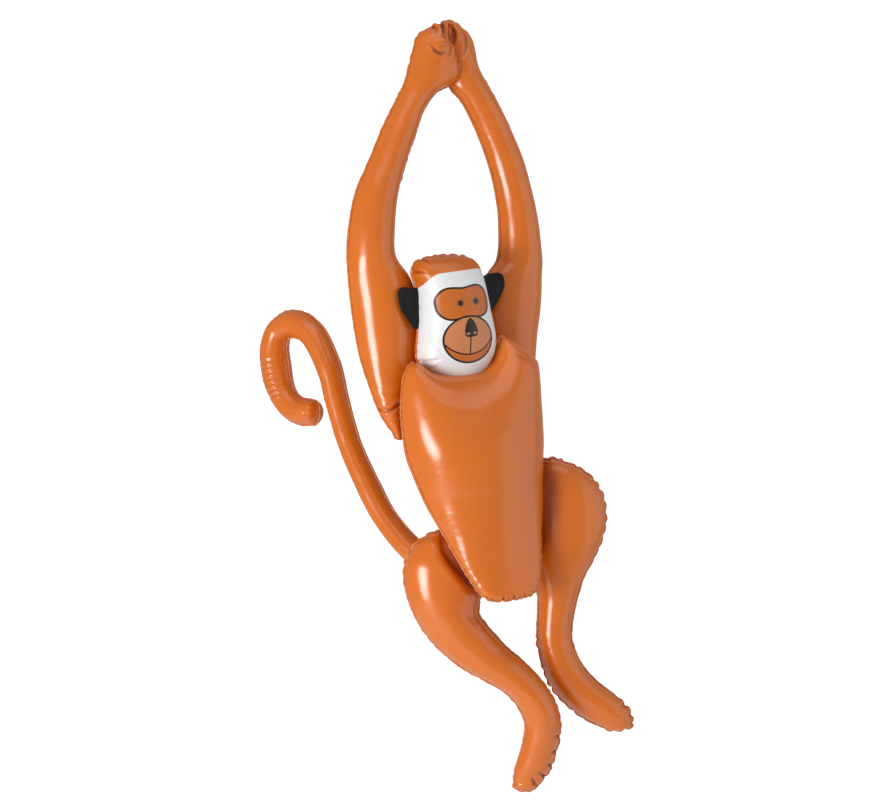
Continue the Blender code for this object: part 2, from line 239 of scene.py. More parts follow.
@dataclass(frozen=True)
class FilmRule:
    """How thin film lies at a weld, a pucker and a fold. Sizes are in millimetres, the others are shares.

    Args:
        crowding: How much closer the rings of points lie near the rim, 1 for even.
        least_pucker: A pucker's least depth, as a share of its depth on a straight weld.
        strengths: The least and greatest strength of a pucker.
        front_shares: The least and greatest share of a pucker in the front film.
        both_shares: What the two films' shares come to.
        cusp: How sharp a pucker's valley is along the rim.
        run_out: How sharply a pucker fades into the film.
        swell: How far the film swells between puckers, for each unit of their depth.
        swell_reach: How far in that swell carries.
        swell_relief: How much of the swell takes off a pucker's crease depth, which sets its painted shade.
        rim_pull: How much of a pucker's depth draws the rim in.
        rim_ease: How much of it lets the rim out between puckers.
        notch_pull: How much of a fold's depth draws the rim in.
        waver: How far the film wavers.
        waver_reach: How far in the waver has its full size.
        waver_lengths: The lengths of its waves, longest first.
        fold_ends: The share of the taper that a fold starts and ends at.
        fold_blunt: How blunt a fold's ends are, 1 for a plain arch.
        fold_valley: How flat its bottom is, 2 for a plain hollow.
        bank_at: Where the bank beside it stands, in fold widths.
        bank_width: How wide that bank is, in fold widths.
        weld_waver: How far the flat weld wavers out of its plane.
        weld_ragged: How far its outer edge wavers.
        weld_overlap: How far it runs in under the air.
        weld_half: Half its thickness.
        weld_ease: How much its outer edge follows the softened rim.
    """

    crowding: float = 1.45
    least_pucker: float = 0.12
    strengths: Pair = (0.55, 1.15)
    front_shares: Pair = (0.35, 1.0)
    both_shares: float = 1.3
    cusp: float = 0.85
    run_out: float = 1.25
    swell: float = 0.34
    swell_reach: float = 7.0
    swell_relief: float = 0.25
    rim_pull: float = 0.85
    rim_ease: float = 0.2
    notch_pull: float = 0.5
    waver: float = 0.22
    waver_reach: float = 12.0
    waver_lengths: tuple[float, ...] = (95.0, 62.0, 41.0, 27.0)
    fold_ends: float = 0.03
    fold_blunt: float = 0.7
    fold_valley: float = 1.6
    bank_at: float = 2.1
    bank_width: float = 0.9
    weld_waver: float = 2.2
    weld_ragged: float = 0.8
    weld_overlap: float = 1.2
    weld_half: float = 0.24
    weld_ease: float = 0.15


FILM = FilmRule()


@dataclass(frozen=True)
class Puckering:
    """How a weld gathers its films into small puckers.

    Args:
        seed: Fixes where the puckers fall.
        pitch: Least and greatest distance from one pucker to the next.
        straight: How deep they are on a straight weld.
        curved: How much deeper on a weld that bends outward, for each unit of its curvature.
        deepest: The deepest that one may be.
        reach: Shortest and longest run of a pucker into the film.
    """

    seed: int
    pitch: Pair = (8.0, 15.0)
    straight: float = 0.30
    curved: float = 60.0
    deepest: float = 1.9
    reach: Pair = (4.0, 13.0)


@dataclass(frozen=True)
class Fold:
    """A crease in the front film of a chamber.

    Args:
        line: Points of the plane that the crease runs through, across and up.
        depth: How deep it is at its middle, or how high where negative.
        width: Half its width.
        lift: How far the film stands up beside it.
        notch: Whether it pulls the weld in where it meets it.
    """

    line: tuple[Pair, ...]
    depth: float = 1.2
    width: float = 1.6
    lift: float = 0.35
    notch: bool = False

    def field(self, across: np.ndarray, up: np.ndarray) -> np.ndarray:
        """How far the crease moves the film outward at each place.

        Args:
            across: Across of every point of the film.
            up: Up of every point of the film.

        Returns:
            Millimetres outward, negative in the crease.
        """
        path = even_rows(smooth_rows(np.array(self.line), 10), 1.0, 2)
        place = np.stack((across, up), axis=-1)
        best = np.full(across.shape, 1e9)
        share = np.zeros(across.shape)
        for index, point in enumerate(path):
            distance = np.linalg.norm(place - point, axis=-1)
            nearer = distance < best
            best = np.where(nearer, distance, best)
            share = np.where(nearer, index / (len(path) - 1), share)
        share = np.clip(share * (1 - 2 * FILM.fold_ends) + FILM.fold_ends, 0, 1)
        taper = np.sin(np.pi * share) ** FILM.fold_blunt
        valley = np.exp(-((best / self.width) ** FILM.fold_valley))
        bank = np.exp(-(((best - FILM.bank_at * self.width) / (FILM.bank_width * self.width)) ** 2))
        return taper * (self.lift * bank - self.depth * valley)


@dataclass
class Chamber:
    """Two films welded round a rim and blown up with air.

    Args:
        name: The piece's name.
        node: The CAD node that it stands for.
        plane: Where its weld lies.
        puckers: How its weld gathers.
        folds: Its creases.
        fullness: Below 1 the section is squarer, at 1 it is an ellipse.
        flange: The width of the flat weld outside the air.
    """

    name: str
    node: str
    plane: WeldPlane
    puckers: Puckering
    folds: tuple[Fold, ...] = ()
    fullness: float = 1.0
    flange: float = 2.0

    def outline(self) -> dict[str, np.ndarray]:
        """The rim and the ridge that it pairs with.

        Returns:
            For every rim point: rim and ridge, the two places; rim_forward and ridge_forward, how far
            forward they are; front and back, the films' heights on the ridge.
        """
        raise NotImplementedError

    def heights(self, plan: np.ndarray, rim: np.ndarray, depth: np.ndarray, rise: np.ndarray) -> np.ndarray:
        """How far a film stands off the weld plane.

        Args:
            plan: Across and up of every point of its rings.
            rim: The rim's points.
            depth: The half-depth on the ridge, for each rim point.
            rise: The share of it at each ring of a plain tube.

        Returns:
            Millimetres, for every point of the rings.
        """
        return depth * rise

    def films(self, line: dict[str, np.ndarray]) -> tuple[dict[Film, np.ndarray], np.ndarray, dict]:
        """Blows the films up and puckers them.

        Args:
            line: What outline gives.

        Returns:
            Both films as rings of points in the plane, the outward directions of the rim, and how deep each
            point lies in a pucker or fold.
        """
        rim, ridge = line["rim"], line["ridge"]
        count = len(rim)
        along = (np.roll(rim, -1, axis=0) - np.roll(rim, 1, axis=0)) / 2
        spacing = np.linalg.norm(np.roll(rim, -1, axis=0) - rim, axis=1)
        station = np.concatenate(([0.0], np.cumsum(spacing)[:-1]))
        total = float(spacing.sum())
        tangent = along / np.maximum(np.linalg.norm(along, axis=1, keepdims=True), 1e-9)
        tangent = soften_loop(tangent, 3)
        tangent /= np.linalg.norm(tangent, axis=1, keepdims=True)
        outward = np.stack((tangent[:, 1], -tangent[:, 0]), axis=1)
        outward *= np.sign(enclosed(rim))
        turning = np.roll(tangent, -1, axis=0) - np.roll(tangent, 1, axis=0)
        bend = -np.sum(turning * outward, axis=1) / np.maximum(spacing * 2, 0.2)
        bend = soften_loop(bend, 7)
        gather = self._gather(station, total, bend)

        notches = (fold.field(rim[:, 0], rim[:, 1]) for fold in self.folds if fold.notch)
        notch = sum(notches, np.zeros(count))

        share = (np.arange(RINGS + 1) / RINGS)[:, None]
        angle = np.pi / 2 * share**FILM.crowding
        reach_in = np.cos(angle) ** self.fullness
        rise = np.sin(angle) ** self.fullness
        films: dict[Film, np.ndarray] = {}
        depths: dict[Film, np.ndarray] = {}
        for film, height in ((Film.FRONT, line["front"]), (Film.BACK, line["back"])):
            plan = ridge[None] + (rim - ridge)[None] * reach_in[..., None]
            forward = line["ridge_forward"] + (line["rim_forward"] - line["ridge_forward"]) * reach_in
            forward = forward - film.value * self.heights(plan, rim, height, rise)
            grid = np.stack((plan[..., 0], forward, plan[..., 1]), axis=-1)
            from_rim = np.linalg.norm(np.diff(grid, axis=0, prepend=grid[:1]), axis=-1).cumsum(axis=0)
            normal = self._normals(grid, film)
            normal[0] = np.stack((outward[:, 0], np.zeros(count), outward[:, 1]), axis=-1)
            valley = gather["depth"] * gather["cusp"] * gather[film.name]
            dip = valley * np.exp(-((from_rim / gather["reach"]) ** FILM.run_out))
            near_rim = np.exp(-((from_rim / FILM.swell_reach) ** 2))
            swell = FILM.swell * gather["depth"] * near_rim * (1 - gather["cusp"])
            fade = 1 - share**4
            shift = (swell - dip) * fade
            # The crease depth is stored on the mesh, and the finishes paint shade from it in puckers and
            # folds.
            crease = np.maximum(dip - FILM.swell_relief * swell, 0) * fade
            if film is Film.FRONT:
                for fold in self.folds:
                    moved = fold.field(grid[..., 0], grid[..., 2])
                    shift = shift + moved
                    crease = crease + np.maximum(-moved, 0)
            shift = shift + self._waver(grid) * np.minimum(from_rim / FILM.waver_reach, 1.0)
            pulled = -FILM.rim_pull * gather["depth"] * gather["cusp"]
            shift[0] = pulled + FILM.rim_ease * gather["depth"] + FILM.notch_pull * notch
            films[film] = grid + normal * shift[..., None]
            depths[film] = crease
        return films, outward, depths

    def _gather(self, station: np.ndarray, total: float, bend: np.ndarray) -> dict[str, np.ndarray]:
        """Sets the puckers out round the rim.

        Args:
            station: How far each rim point is round the loop.
            total: The loop's length.
            bend: How sharply the rim turns outward.

        Returns:
            At every rim point: the puckers' depth, how near a valley it is, the nearest valley's reach, and
            the share of the depth on each film.
        """
        rule = self.puckers
        random = np.random.default_rng(rule.seed)
        places = [0.0]
        while places[-1] < total:
            places.append(places[-1] + random.uniform(*rule.pitch))
        marks = np.array(places) * total / places[-1]
        last = len(marks) - 1
        index = np.clip(np.searchsorted(marks, station, side="right") - 1, 0, last - 1)
        share = (station - marks[index]) / (marks[index + 1] - marks[index])
        nearest = np.where(share < 0.5, index, index + 1) % last
        least = FILM.least_pucker * rule.straight
        depth = np.clip(rule.straight + rule.curved * bend, least, rule.deepest)
        strength = random.uniform(*FILM.strengths, last)
        front = random.uniform(*FILM.front_shares, last)
        reach = random.uniform(*rule.reach, last)
        return {
            "depth": soften_loop(depth * strength[nearest], 2),
            "cusp": 1 - np.sin(np.pi * share) ** FILM.cusp,
            "reach": reach[nearest],
            "FRONT": front[nearest],
            "BACK": FILM.both_shares - front[nearest],
        }

    def _normals(self, grid: np.ndarray, film: Film) -> np.ndarray:
        """The outward directions of a film's rings of points.

        Args:
            grid: The rings of points.
            film: Which film it is.

        Returns:
            Unit directions, straight out of the plane on the ridge.
        """
        round_rim = np.roll(grid, -1, axis=1) - np.roll(grid, 1, axis=1)
        inward = np.gradient(grid, axis=0)
        normal = np.cross(round_rim, inward)
        normal /= np.maximum(np.linalg.norm(normal, axis=-1, keepdims=True), 1e-9)
        out = -float(film.value)
        flip = np.sign(np.sum(normal[RINGS // 2, :, 1]) * out)
        normal *= flip if flip else 1.0
        normal[-1] = (0.0, out, 0.0)
        return normal

    def _waver(self, grid: np.ndarray) -> np.ndarray:
        """A slow, shallow waver of the film, the same wherever two rings meet.

        Args:
            grid: The rings of points.

        Returns:
            Millimetres outward.
        """
        random = np.random.default_rng(self.puckers.seed + 100)
        waver = np.zeros(grid.shape[:2])
        longest = FILM.waver_lengths[0]
        for length in FILM.waver_lengths:
            heading = random.normal(size=3)
            heading /= np.linalg.norm(heading)
            waver += length / longest * np.sin(grid @ heading * 2 * np.pi / length + random.uniform(0, 6.28))
        return waver * FILM.waver

    def build(self) -> bpy.types.Object:
        """Makes the chamber's mesh, with its flange, and links it.

        Returns:
            The new object, with a crease attribute and its place in the plane as attributes.
        """
        line = self.outline()
        films, outward, depths = self.films(line)
        front, back = films[Film.FRONT], films[Film.BACK]
        count = front.shape[1]
        loop = np.arange(count)
        ridge_keys = np.round(front[-1] * 500).astype(int)
        _, first, shared = np.unique(ridge_keys, axis=0, return_index=True, return_inverse=True)
        shared = shared.reshape(-1)
        points, creases, faces = [front[0]], [np.maximum(depths[Film.FRONT][0], 0)], []
        fronts = [np.full(count, 0.5)]
        sense = 1 if enclosed(line["rim"]) > 0 else -1
        start = count
        for film in (Film.FRONT, Film.BACK):
            below = loop
            winding = -sense * film.value
            side = 1.0 if film is Film.FRONT else 0.0
            for ring in range(1, RINGS):
                points.append(films[film][ring])
                creases.append(depths[film][ring])
                fronts.append(np.full(count, side))
                here = start + loop
                faces.append(strip(below, here, winding))
                below = here
                start += count
            points.append(films[film][-1][first])
            creases.append(depths[film][-1][first])
            fronts.append(np.full(len(first), side))
            faces.append(strip(below, start + shared, winding))
            start += len(first)
        rings = self._flange_rings(front[0], outward)
        flange = []
        for k in range(4):
            near, far = start + k * count, start + (k + 1) % 4 * count
            flange.append(strip(near + loop, far + loop, -sense))
        points.extend(rings)
        creases.extend([np.zeros(count)] * 4)
        fronts.extend([np.zeros(count)] * 4)
        local = np.vstack(points)
        made = mesh_of(self.name, self.plane.place(local), [np.vstack(faces), np.vstack(flange)])
        store(made, "crease", np.concatenate(creases))
        store(made, "front", np.concatenate(fronts))
        store(made, "plan", local)
        return made

    def _flange_rings(self, rim: np.ndarray, outward: np.ndarray) -> list[np.ndarray]:
        """The flat weld outside the air: a thin strip that wavers a little.

        Args:
            rim: The points where the films meet.
            outward: The rim's outward directions.

        Returns:
            Four rings of points: inner front, outer front, outer back and inner back.
        """
        count = len(rim)
        random = np.random.default_rng(self.puckers.seed + 7)
        waver = soften_loop(random.uniform(-1, 1, count), 4) * FILM.weld_waver
        edge = soften_loop(random.uniform(-1, 1, count), 3) * FILM.weld_ragged
        out = np.stack((outward[:, 0], np.zeros(count), outward[:, 1]), axis=1)
        inner = rim - out * FILM.weld_overlap
        eased = (1 - FILM.weld_ease) * rim + FILM.weld_ease * soften_loop(rim, 4)
        outer = eased + out * (self.flange + edge)[:, None]
        outer[:, 1] += waver
        thick = np.array((0.0, FILM.weld_half, 0.0))
        return [inner + thick, outer + thick, outer - thick, inner - thick]


def mesh_of(name: str, points: np.ndarray, groups: list[np.ndarray]) -> bpy.types.Object:
    """Makes and links an object from points in millimetres.

    Args:
        name: The object's name.
        points: Row-frame points.
        groups: Quads, one array for each material slot in turn.

    Returns:
        The object, smooth.
    """
    mesh = bpy.data.meshes.new(name)
    quads = np.vstack(groups)
    slots = np.concatenate([np.full(len(group), k) for k, group in enumerate(groups)])
    faces = []
    kept = []
    for quad, slot_index in zip(quads.tolist(), slots.tolist()):
        face = [v for k, v in enumerate(quad) if v != quad[k - 1]]
        if len(face) > 2:
            faces.append(face)
            kept.append(slot_index)
    mesh.from_pydata((points * MM).tolist(), [], faces)
    mesh.polygons.foreach_set("material_index", kept)
    mesh.shade_smooth()
    obj = bpy.data.objects.new(name, mesh)
    bpy.context.scene.collection.objects.link(obj)
    return obj


def face_outward(obj: bpy.types.Object) -> None:
    """Joins a mesh's doubled points and turns its faces outward.

    Args:
        obj: The mesh's object.
    """
    work = bmesh.new()
    work.from_mesh(obj.data)
    bmesh.ops.remove_doubles(work, verts=work.verts, dist=0.00001)
    bmesh.ops.recalc_face_normals(work, faces=work.faces)
    work.to_mesh(obj.data)
    work.free()


@dataclass
class Limb(Chamber):
    """A long chamber between two edges, with a rounded cap at each end.

    Args:
        stations: Left edge across and up, right edge across and up, forward, half-depth.
        caps: How far the top and the end bulge past the outermost stations.
    """

    stations: tuple[tuple[float, ...], ...] = ()
    caps: Pair = (5.0, 5.0)

    def outline(self) -> dict[str, np.ndarray]:
        """The rim down the left edge, round the end, up the right edge and round the top.

        Returns:
            What Chamber.outline names, with the ridge midway between the edges.
        """
        rows = smooth_rows(np.array(self.stations, float), 30)
        middles = (rows[:, 0:2] + rows[:, 2:4]) / 2
        rows = even_rows(np.hstack((middles, rows)), RIM_STEP, 2)[:, 2:]
        left, right = rows[:, 0:2], rows[:, 2:4]
        middles = (left + right) / 2
        foot = self._cap(left[-1], right[-1], middles[-1] - middles[-3], self.caps[1])
        top = self._cap(right[0], left[0], middles[0] - middles[2], self.caps[0])
        rim = np.vstack((left, foot, right[::-1], top))
        ends = (np.repeat(rows[-1:], len(foot), axis=0), np.repeat(rows[:1], len(top), axis=0))
        at = np.vstack((rows, ends[0], rows[::-1], ends[1]))
        ridge = (at[:, 0:2] + at[:, 2:4]) / 2
        return {
            "rim": self._inset(rim),
            "ridge": ridge,
            "rim_forward": at[:, 4],
            "ridge_forward": at[:, 4],
            "front": at[:, 5],
            "back": at[:, 5],
        }

    def _inset(self, rim: np.ndarray) -> np.ndarray:
        """The rim moved in by the flange's width.

        Args:
            rim: The outermost edge, round the loop.

        Returns:
            The line along which the films part.
        """
        along = soften_loop(np.roll(rim, -1, axis=0) - np.roll(rim, 1, axis=0), 2)
        along /= np.maximum(np.linalg.norm(along, axis=1, keepdims=True), 1e-9)
        outward = np.stack((along[:, 1], -along[:, 0]), axis=1) * np.sign(enclosed(rim))
        return rim - outward * self.flange

    @staticmethod
    def _cap(start: np.ndarray, end: np.ndarray, ahead: np.ndarray, length: float) -> np.ndarray:
        """Half an ellipse from one edge to the other.

        Args:
            start: The edge that it leaves.
            end: The edge that it reaches.
            ahead: The direction that it bulges in.
            length: How far it bulges.

        Returns:
            Its points, without the two edges.
        """
        middle, half = (start + end) / 2, (start - end) / 2
        ahead = ahead / np.linalg.norm(ahead) * length
        count = max(int(round(np.linalg.norm(half) * 2.4 / RIM_STEP)), 6)
        angle = (np.pi * np.arange(1, count) / count)[:, None]
        return middle + half * np.cos(angle) + ahead * np.sin(angle)


@dataclass
class Pillow(Chamber):
    """A wide chamber with a straight ridge up its middle.

    Args:
        corners: The rim, across and up, round from the top to the monkey's left.
        ridge: Along the ridge: up, forward, front half-depth, back half-depth.
        edge: Up and forward of the weld.
        widths: Up and half the width, for a film that stands as high as its ridge says.
    """

    corners: tuple[Pair, ...] = ()
    ridge: tuple[tuple[float, float, float, float], ...] = ()
    edge: tuple[Pair, ...] = ((-100.0, 0.0), (100.0, 0.0))
    widths: tuple[Pair, ...] = ((-100.0, 50.0), (100.0, 50.0))

    def heights(self, plan: np.ndarray, rim: np.ndarray, depth: np.ndarray, rise: np.ndarray) -> np.ndarray:
        """The height of a film held all round its rim, from how near the rim is in every direction.

        Args:
            plan: Across and up of every point of its rings.
            rim: The rim's points.
            depth: The half-depth on the ridge, for each rim point.
            rise: Plain tubes use it. A pillow works its own out.

        Returns:
            Millimetres, for every point of the rings.
        """
        ends = np.roll(rim, -1, axis=0)
        sides = ends - rim
        sides /= np.linalg.norm(sides, axis=1, keepdims=True)
        turn = enclosed(rim)
        made = []
        for ring in plan:
            start, end = rim[None] - ring[:, None], ends[None] - ring[:, None]
            near = np.maximum(np.linalg.norm(start, axis=2), 1e-6)
            far = np.roll(near, -1, axis=1)
            off = (start[..., 0] * sides[:, 1] - start[..., 1] * sides[:, 0]) * np.sign(turn)
            swept = np.sum(end * sides, axis=2) / far - np.sum(start * sides, axis=2) / near
            pull = np.where(np.abs(off) > 1e-5, swept / np.where(np.abs(off) > 1e-5, off, 1.0), 0.0)
            made.append(pull.sum(axis=1))
        pull = np.array(made)
        nearness = np.where(pull > 1e-3, 1.0 / np.maximum(pull, 1e-3), 0.0)
        # A long strip's middle is pulled by 4 over its half-width, which makes its share 1.
        share = nearness / self.half_width(plan[..., 1]) * 4.0
        share[0] = 0.0
        return depth * np.clip(share, 0, None) ** (0.5 * self.fullness)

    def half_width(self, level: np.ndarray) -> np.ndarray:
        """Half the chamber's width at each level."""
        return smooth_lookup(self.widths, level)[..., 0]

    def outline(self) -> dict[str, np.ndarray]:
        """The rim, paired with the nearest level of the ridge.

        Returns:
            What Chamber.outline names.
        """
        rim = even_rows(smooth_rows(np.array(self.corners), 16, closed=True), RIM_STEP, 2, closed=True)
        levels = [row[0] for row in self.ridge]
        level = np.clip(rim[:, 1], min(levels), max(levels))
        level = np.round(soften_loop(level, 9) * 2) / 2
        found = smooth_lookup(self.ridge, level)
        return {
            "rim": rim,
            "ridge": np.stack((np.zeros(len(rim)), level), axis=1),
            "rim_forward": smooth_lookup(self.edge, rim[:, 1])[:, 0],
            "ridge_forward": found[:, 0],
            "front": found[:, 1],
            "back": found[:, 2],
        }


class Wire:
    """A shader socket that takes part in Python expressions on numbers."""

    def __init__(self, graph: Graph, socket: bpy.types.NodeSocket) -> None:
        """Wraps a socket.

        Args:
            graph: The material's graph.
            socket: An output socket.
        """
        self.graph = graph
        self.socket = socket

    def maths(self, operation: str, *others: Wire | float) -> Wire:
        """A Math node on this value and others.

        Args:
            operation: The Math node's operation.
            others: The other inputs, in order.

        Returns:
            The node's result.
        """
        inputs = dict(enumerate((self, *others)))
        return self.graph.wire("ShaderNodeMath", {"operation": operation}, inputs)

    def __add__(self, other: Wire | float) -> Wire:
        """The sum."""
        return self.maths("ADD", other)

    __radd__ = __add__

    def __sub__(self, other: Wire | float) -> Wire:
        """The difference."""
        return self.maths("SUBTRACT", other)

    def __rsub__(self, other: float) -> Wire:
        """A number less this value."""
        return -self + other

    def __mul__(self, other: Wire | float) -> Wire:
        """The product."""
        return self.maths("MULTIPLY", other)

    __rmul__ = __mul__

    def __truediv__(self, other: Wire | float) -> Wire:
        """The quotient."""
        return self.maths("DIVIDE", other)

    def __rtruediv__(self, other: float) -> Wire:
        """A number divided by this value."""
        return self.maths("POWER", -1.0) * other

    def __pow__(self, other: float) -> Wire:
        """The power."""
        return self.maths("POWER", other)

    def __neg__(self) -> Wire:
        """The value with its sign changed."""
        return self * -1.0

    def __abs__(self) -> Wire:
        """The size of the value."""
        return self.maths("ABSOLUTE")

    def at_least(self, other: Wire | float) -> Wire:
        """The larger of the two."""
        return self.maths("MAXIMUM", other)

    def at_most(self, other: Wire | float) -> Wire:
        """The smaller of the two."""
        return self.maths("MINIMUM", other)

    def stepped(self, start: float, end: float) -> Wire:
        """Rises smoothly from 0 to 1.

        Args:
            start: The value that gives 0.
            end: The value that gives 1.

        Returns:
            The share.
        """
        settings = {"interpolation_type": "SMOOTHSTEP"}
        inputs = {"Value": self, "From Min": start, "From Max": end}
        return self.graph.wire("ShaderNodeMapRange", settings, inputs)


class Graph:
    """The nodes of one material or of the world."""

    def __init__(self, owner: bpy.types.Material | bpy.types.World) -> None:
        """Clears the owner's nodes.

        Args:
            owner: The material or the world.
        """
        owner.use_nodes = True
        self.owner = owner
        self.tree = owner.node_tree
        self.tree.nodes.clear()

    def node(self, kind: str, settings: dict | None = None, inputs: dict | None = None) -> bpy.types.Node:
        """Adds a node.

        Args:
            kind: The node's type.
            settings: Its properties, set first.
            inputs: Values, wires or sockets for its inputs, by name or number.

        Returns:
            The node.
        """
        made = self.tree.nodes.new(kind)
        for key, value in (settings or {}).items():
            setattr(made, key, value)
        for key, value in (inputs or {}).items():
            socket = made.inputs[key]
            if isinstance(value, Wire):
                self.tree.links.new(value.socket, socket)
            elif isinstance(value, bpy.types.NodeSocket):
                self.tree.links.new(value, socket)
            else:
                socket.default_value = value
        return made

    def wire(
        self, kind: str, settings: dict | None = None, inputs: dict | None = None, output: str | int = 0
    ) -> Wire:
        """Adds a node and gives one of its outputs.

        Args:
            kind: The node's type.
            settings: Its properties, set first.
            inputs: Values, wires or sockets for its inputs, by name or number.
            output: The output's name or number.

        Returns:
            The output.
        """
        return Wire(self, self.node(kind, settings, inputs).outputs[output])

    def attribute(self, name: str, output: str = "Fac") -> Wire:
        """A value stored on the mesh."""
        return self.wire("ShaderNodeAttribute", {"attribute_name": name}, output=output)

    def mixed(self, share: Wire | float, low: Wire | Colour, high: Wire | Colour) -> Wire:
        """Two colours mixed by a share.

        Args:
            share: 0 for the first, 1 for the second.
            low: The first colour.
            high: The second colour.

        Returns:
            The mixed colour.
        """
        ends = [end if isinstance(end, Wire) else (*end, 1.0) for end in (low, high)]
        return self.wire(
            "ShaderNodeMix", {"data_type": "RGBA"}, {0: share, 6: ends[0], 7: ends[1]}, output=2
        )

    def noise(self, scale: float, detail: float = 2.0, roughness: float = 0.5) -> Wire:
        """Noise in the object's own space.

        Args:
            scale: How many times it repeats in a metre.
            detail: How many finer layers it has.
            roughness: How strong the finer layers are.

        Returns:
            The noise, from 0 to 1.
        """
        place = self.wire("ShaderNodeTexCoord", output="Object")
        inputs = {"Vector": place, "Scale": scale, "Detail": detail, "Roughness": roughness}
        return self.wire("ShaderNodeTexNoise", {}, inputs)

    def bump(self, height: Wire, distance: float, normal: Wire | None = None) -> Wire:
        """A bump from a height.

        Args:
            height: The height, from 0 to 1.
            distance: How high 1 is, in metres.
            normal: A bump to add to.

        Returns:
            The bumped normal.
        """
        inputs = {"Height": height, "Distance": distance}
        if normal is not None:
            inputs["Normal"] = normal
        return self.wire("ShaderNodeBump", {}, inputs)

    def finish(self, inputs: dict) -> bpy.types.Material:
        """Ends the material with a Principled shader.

        Args:
            inputs: What its sockets hold.

        Returns:
            The material.
        """
        shader = self.wire("ShaderNodeBsdfPrincipled", {}, inputs)
        self.node("ShaderNodeOutputMaterial", {}, {"Surface": shader})
        return self.owner


@dataclass(frozen=True)
class VinylFinish:
    """Glossy inflatable film, with painted shade that darkens its colour in its puckers and folds.

    Args:
        name: The material's name.
        colour: The film's colour where it is taut.
        deep: The painted shade colour, down in a pucker or fold.
        roughness: How it blurs what it mirrors.
        gloss: How strongly it mirrors, 0.5 for plain plastic.
        uneven: The darkest and palest share of its colour.
        shade_depths: The crease depths between which the painted shade comes in.
        shade_share: How much of the painted shade shows at most.
        smeared: How much its roughness varies.
        creased: The crease depths between which it turns dull.
        dull: How much rougher it is there.
    """

    name: str
    colour: Colour
    deep: Colour
    roughness: float
    gloss: float = 0.75
    uneven: Pair = (0.94, 1.05)
    shade_depths: Pair = (0.25, 2.2)
    shade_share: float = 0.85
    smeared: float = 0.07
    creased: Pair = (1.5, 4.8)
    dull: float = 0.4

    def film_colour(self, graph: Graph) -> Wire:
        """The film's colour, a little uneven, with painted shade deeper in the puckers and folds.

        Args:
            graph: The material's nodes.

        Returns:
            The colour.
        """
        darkest, palest = self.uneven
        pale = tuple(min(c * palest, 1.0) for c in self.colour)
        dark = tuple(c * darkest for c in self.colour)
        taut = graph.mixed(graph.noise(14.0, 3.0), dark, pale)
        # Painted shade: the colour is mixed towards the deep colour where the film lies down in a pucker or
        # fold.
        return graph.mixed(graph.attribute("crease").stepped(*self.shade_depths) * self.shade_share, taut, self.deep)

    def shine(self, graph: Graph) -> dict:
        """The film's roughness and its fine bumps.

        Args:
            graph: The material's nodes.

        Returns:
            What the Principled shader's sockets hold.
        """
        smear = graph.noise(38.0, 4.0, 0.6)
        waver = graph.bump(graph.noise(70.0), 0.00016)
        grain = graph.bump(graph.noise(1500.0, 1.0), 0.00001, waver)
        creased = graph.attribute("crease").stepped(*self.creased)
        evenly = self.roughness - self.smeared / 2
        return {
            "Roughness": smear * self.smeared + creased * self.dull + evenly,
            "Normal": grain,
            "Specular IOR Level": self.gloss,
        }

    def material(self) -> bpy.types.Material:
        """Makes the material."""
        graph = Graph(bpy.data.materials.new(self.name))
        return graph.finish({"Base Color": self.film_colour(graph), **self.shine(graph)})


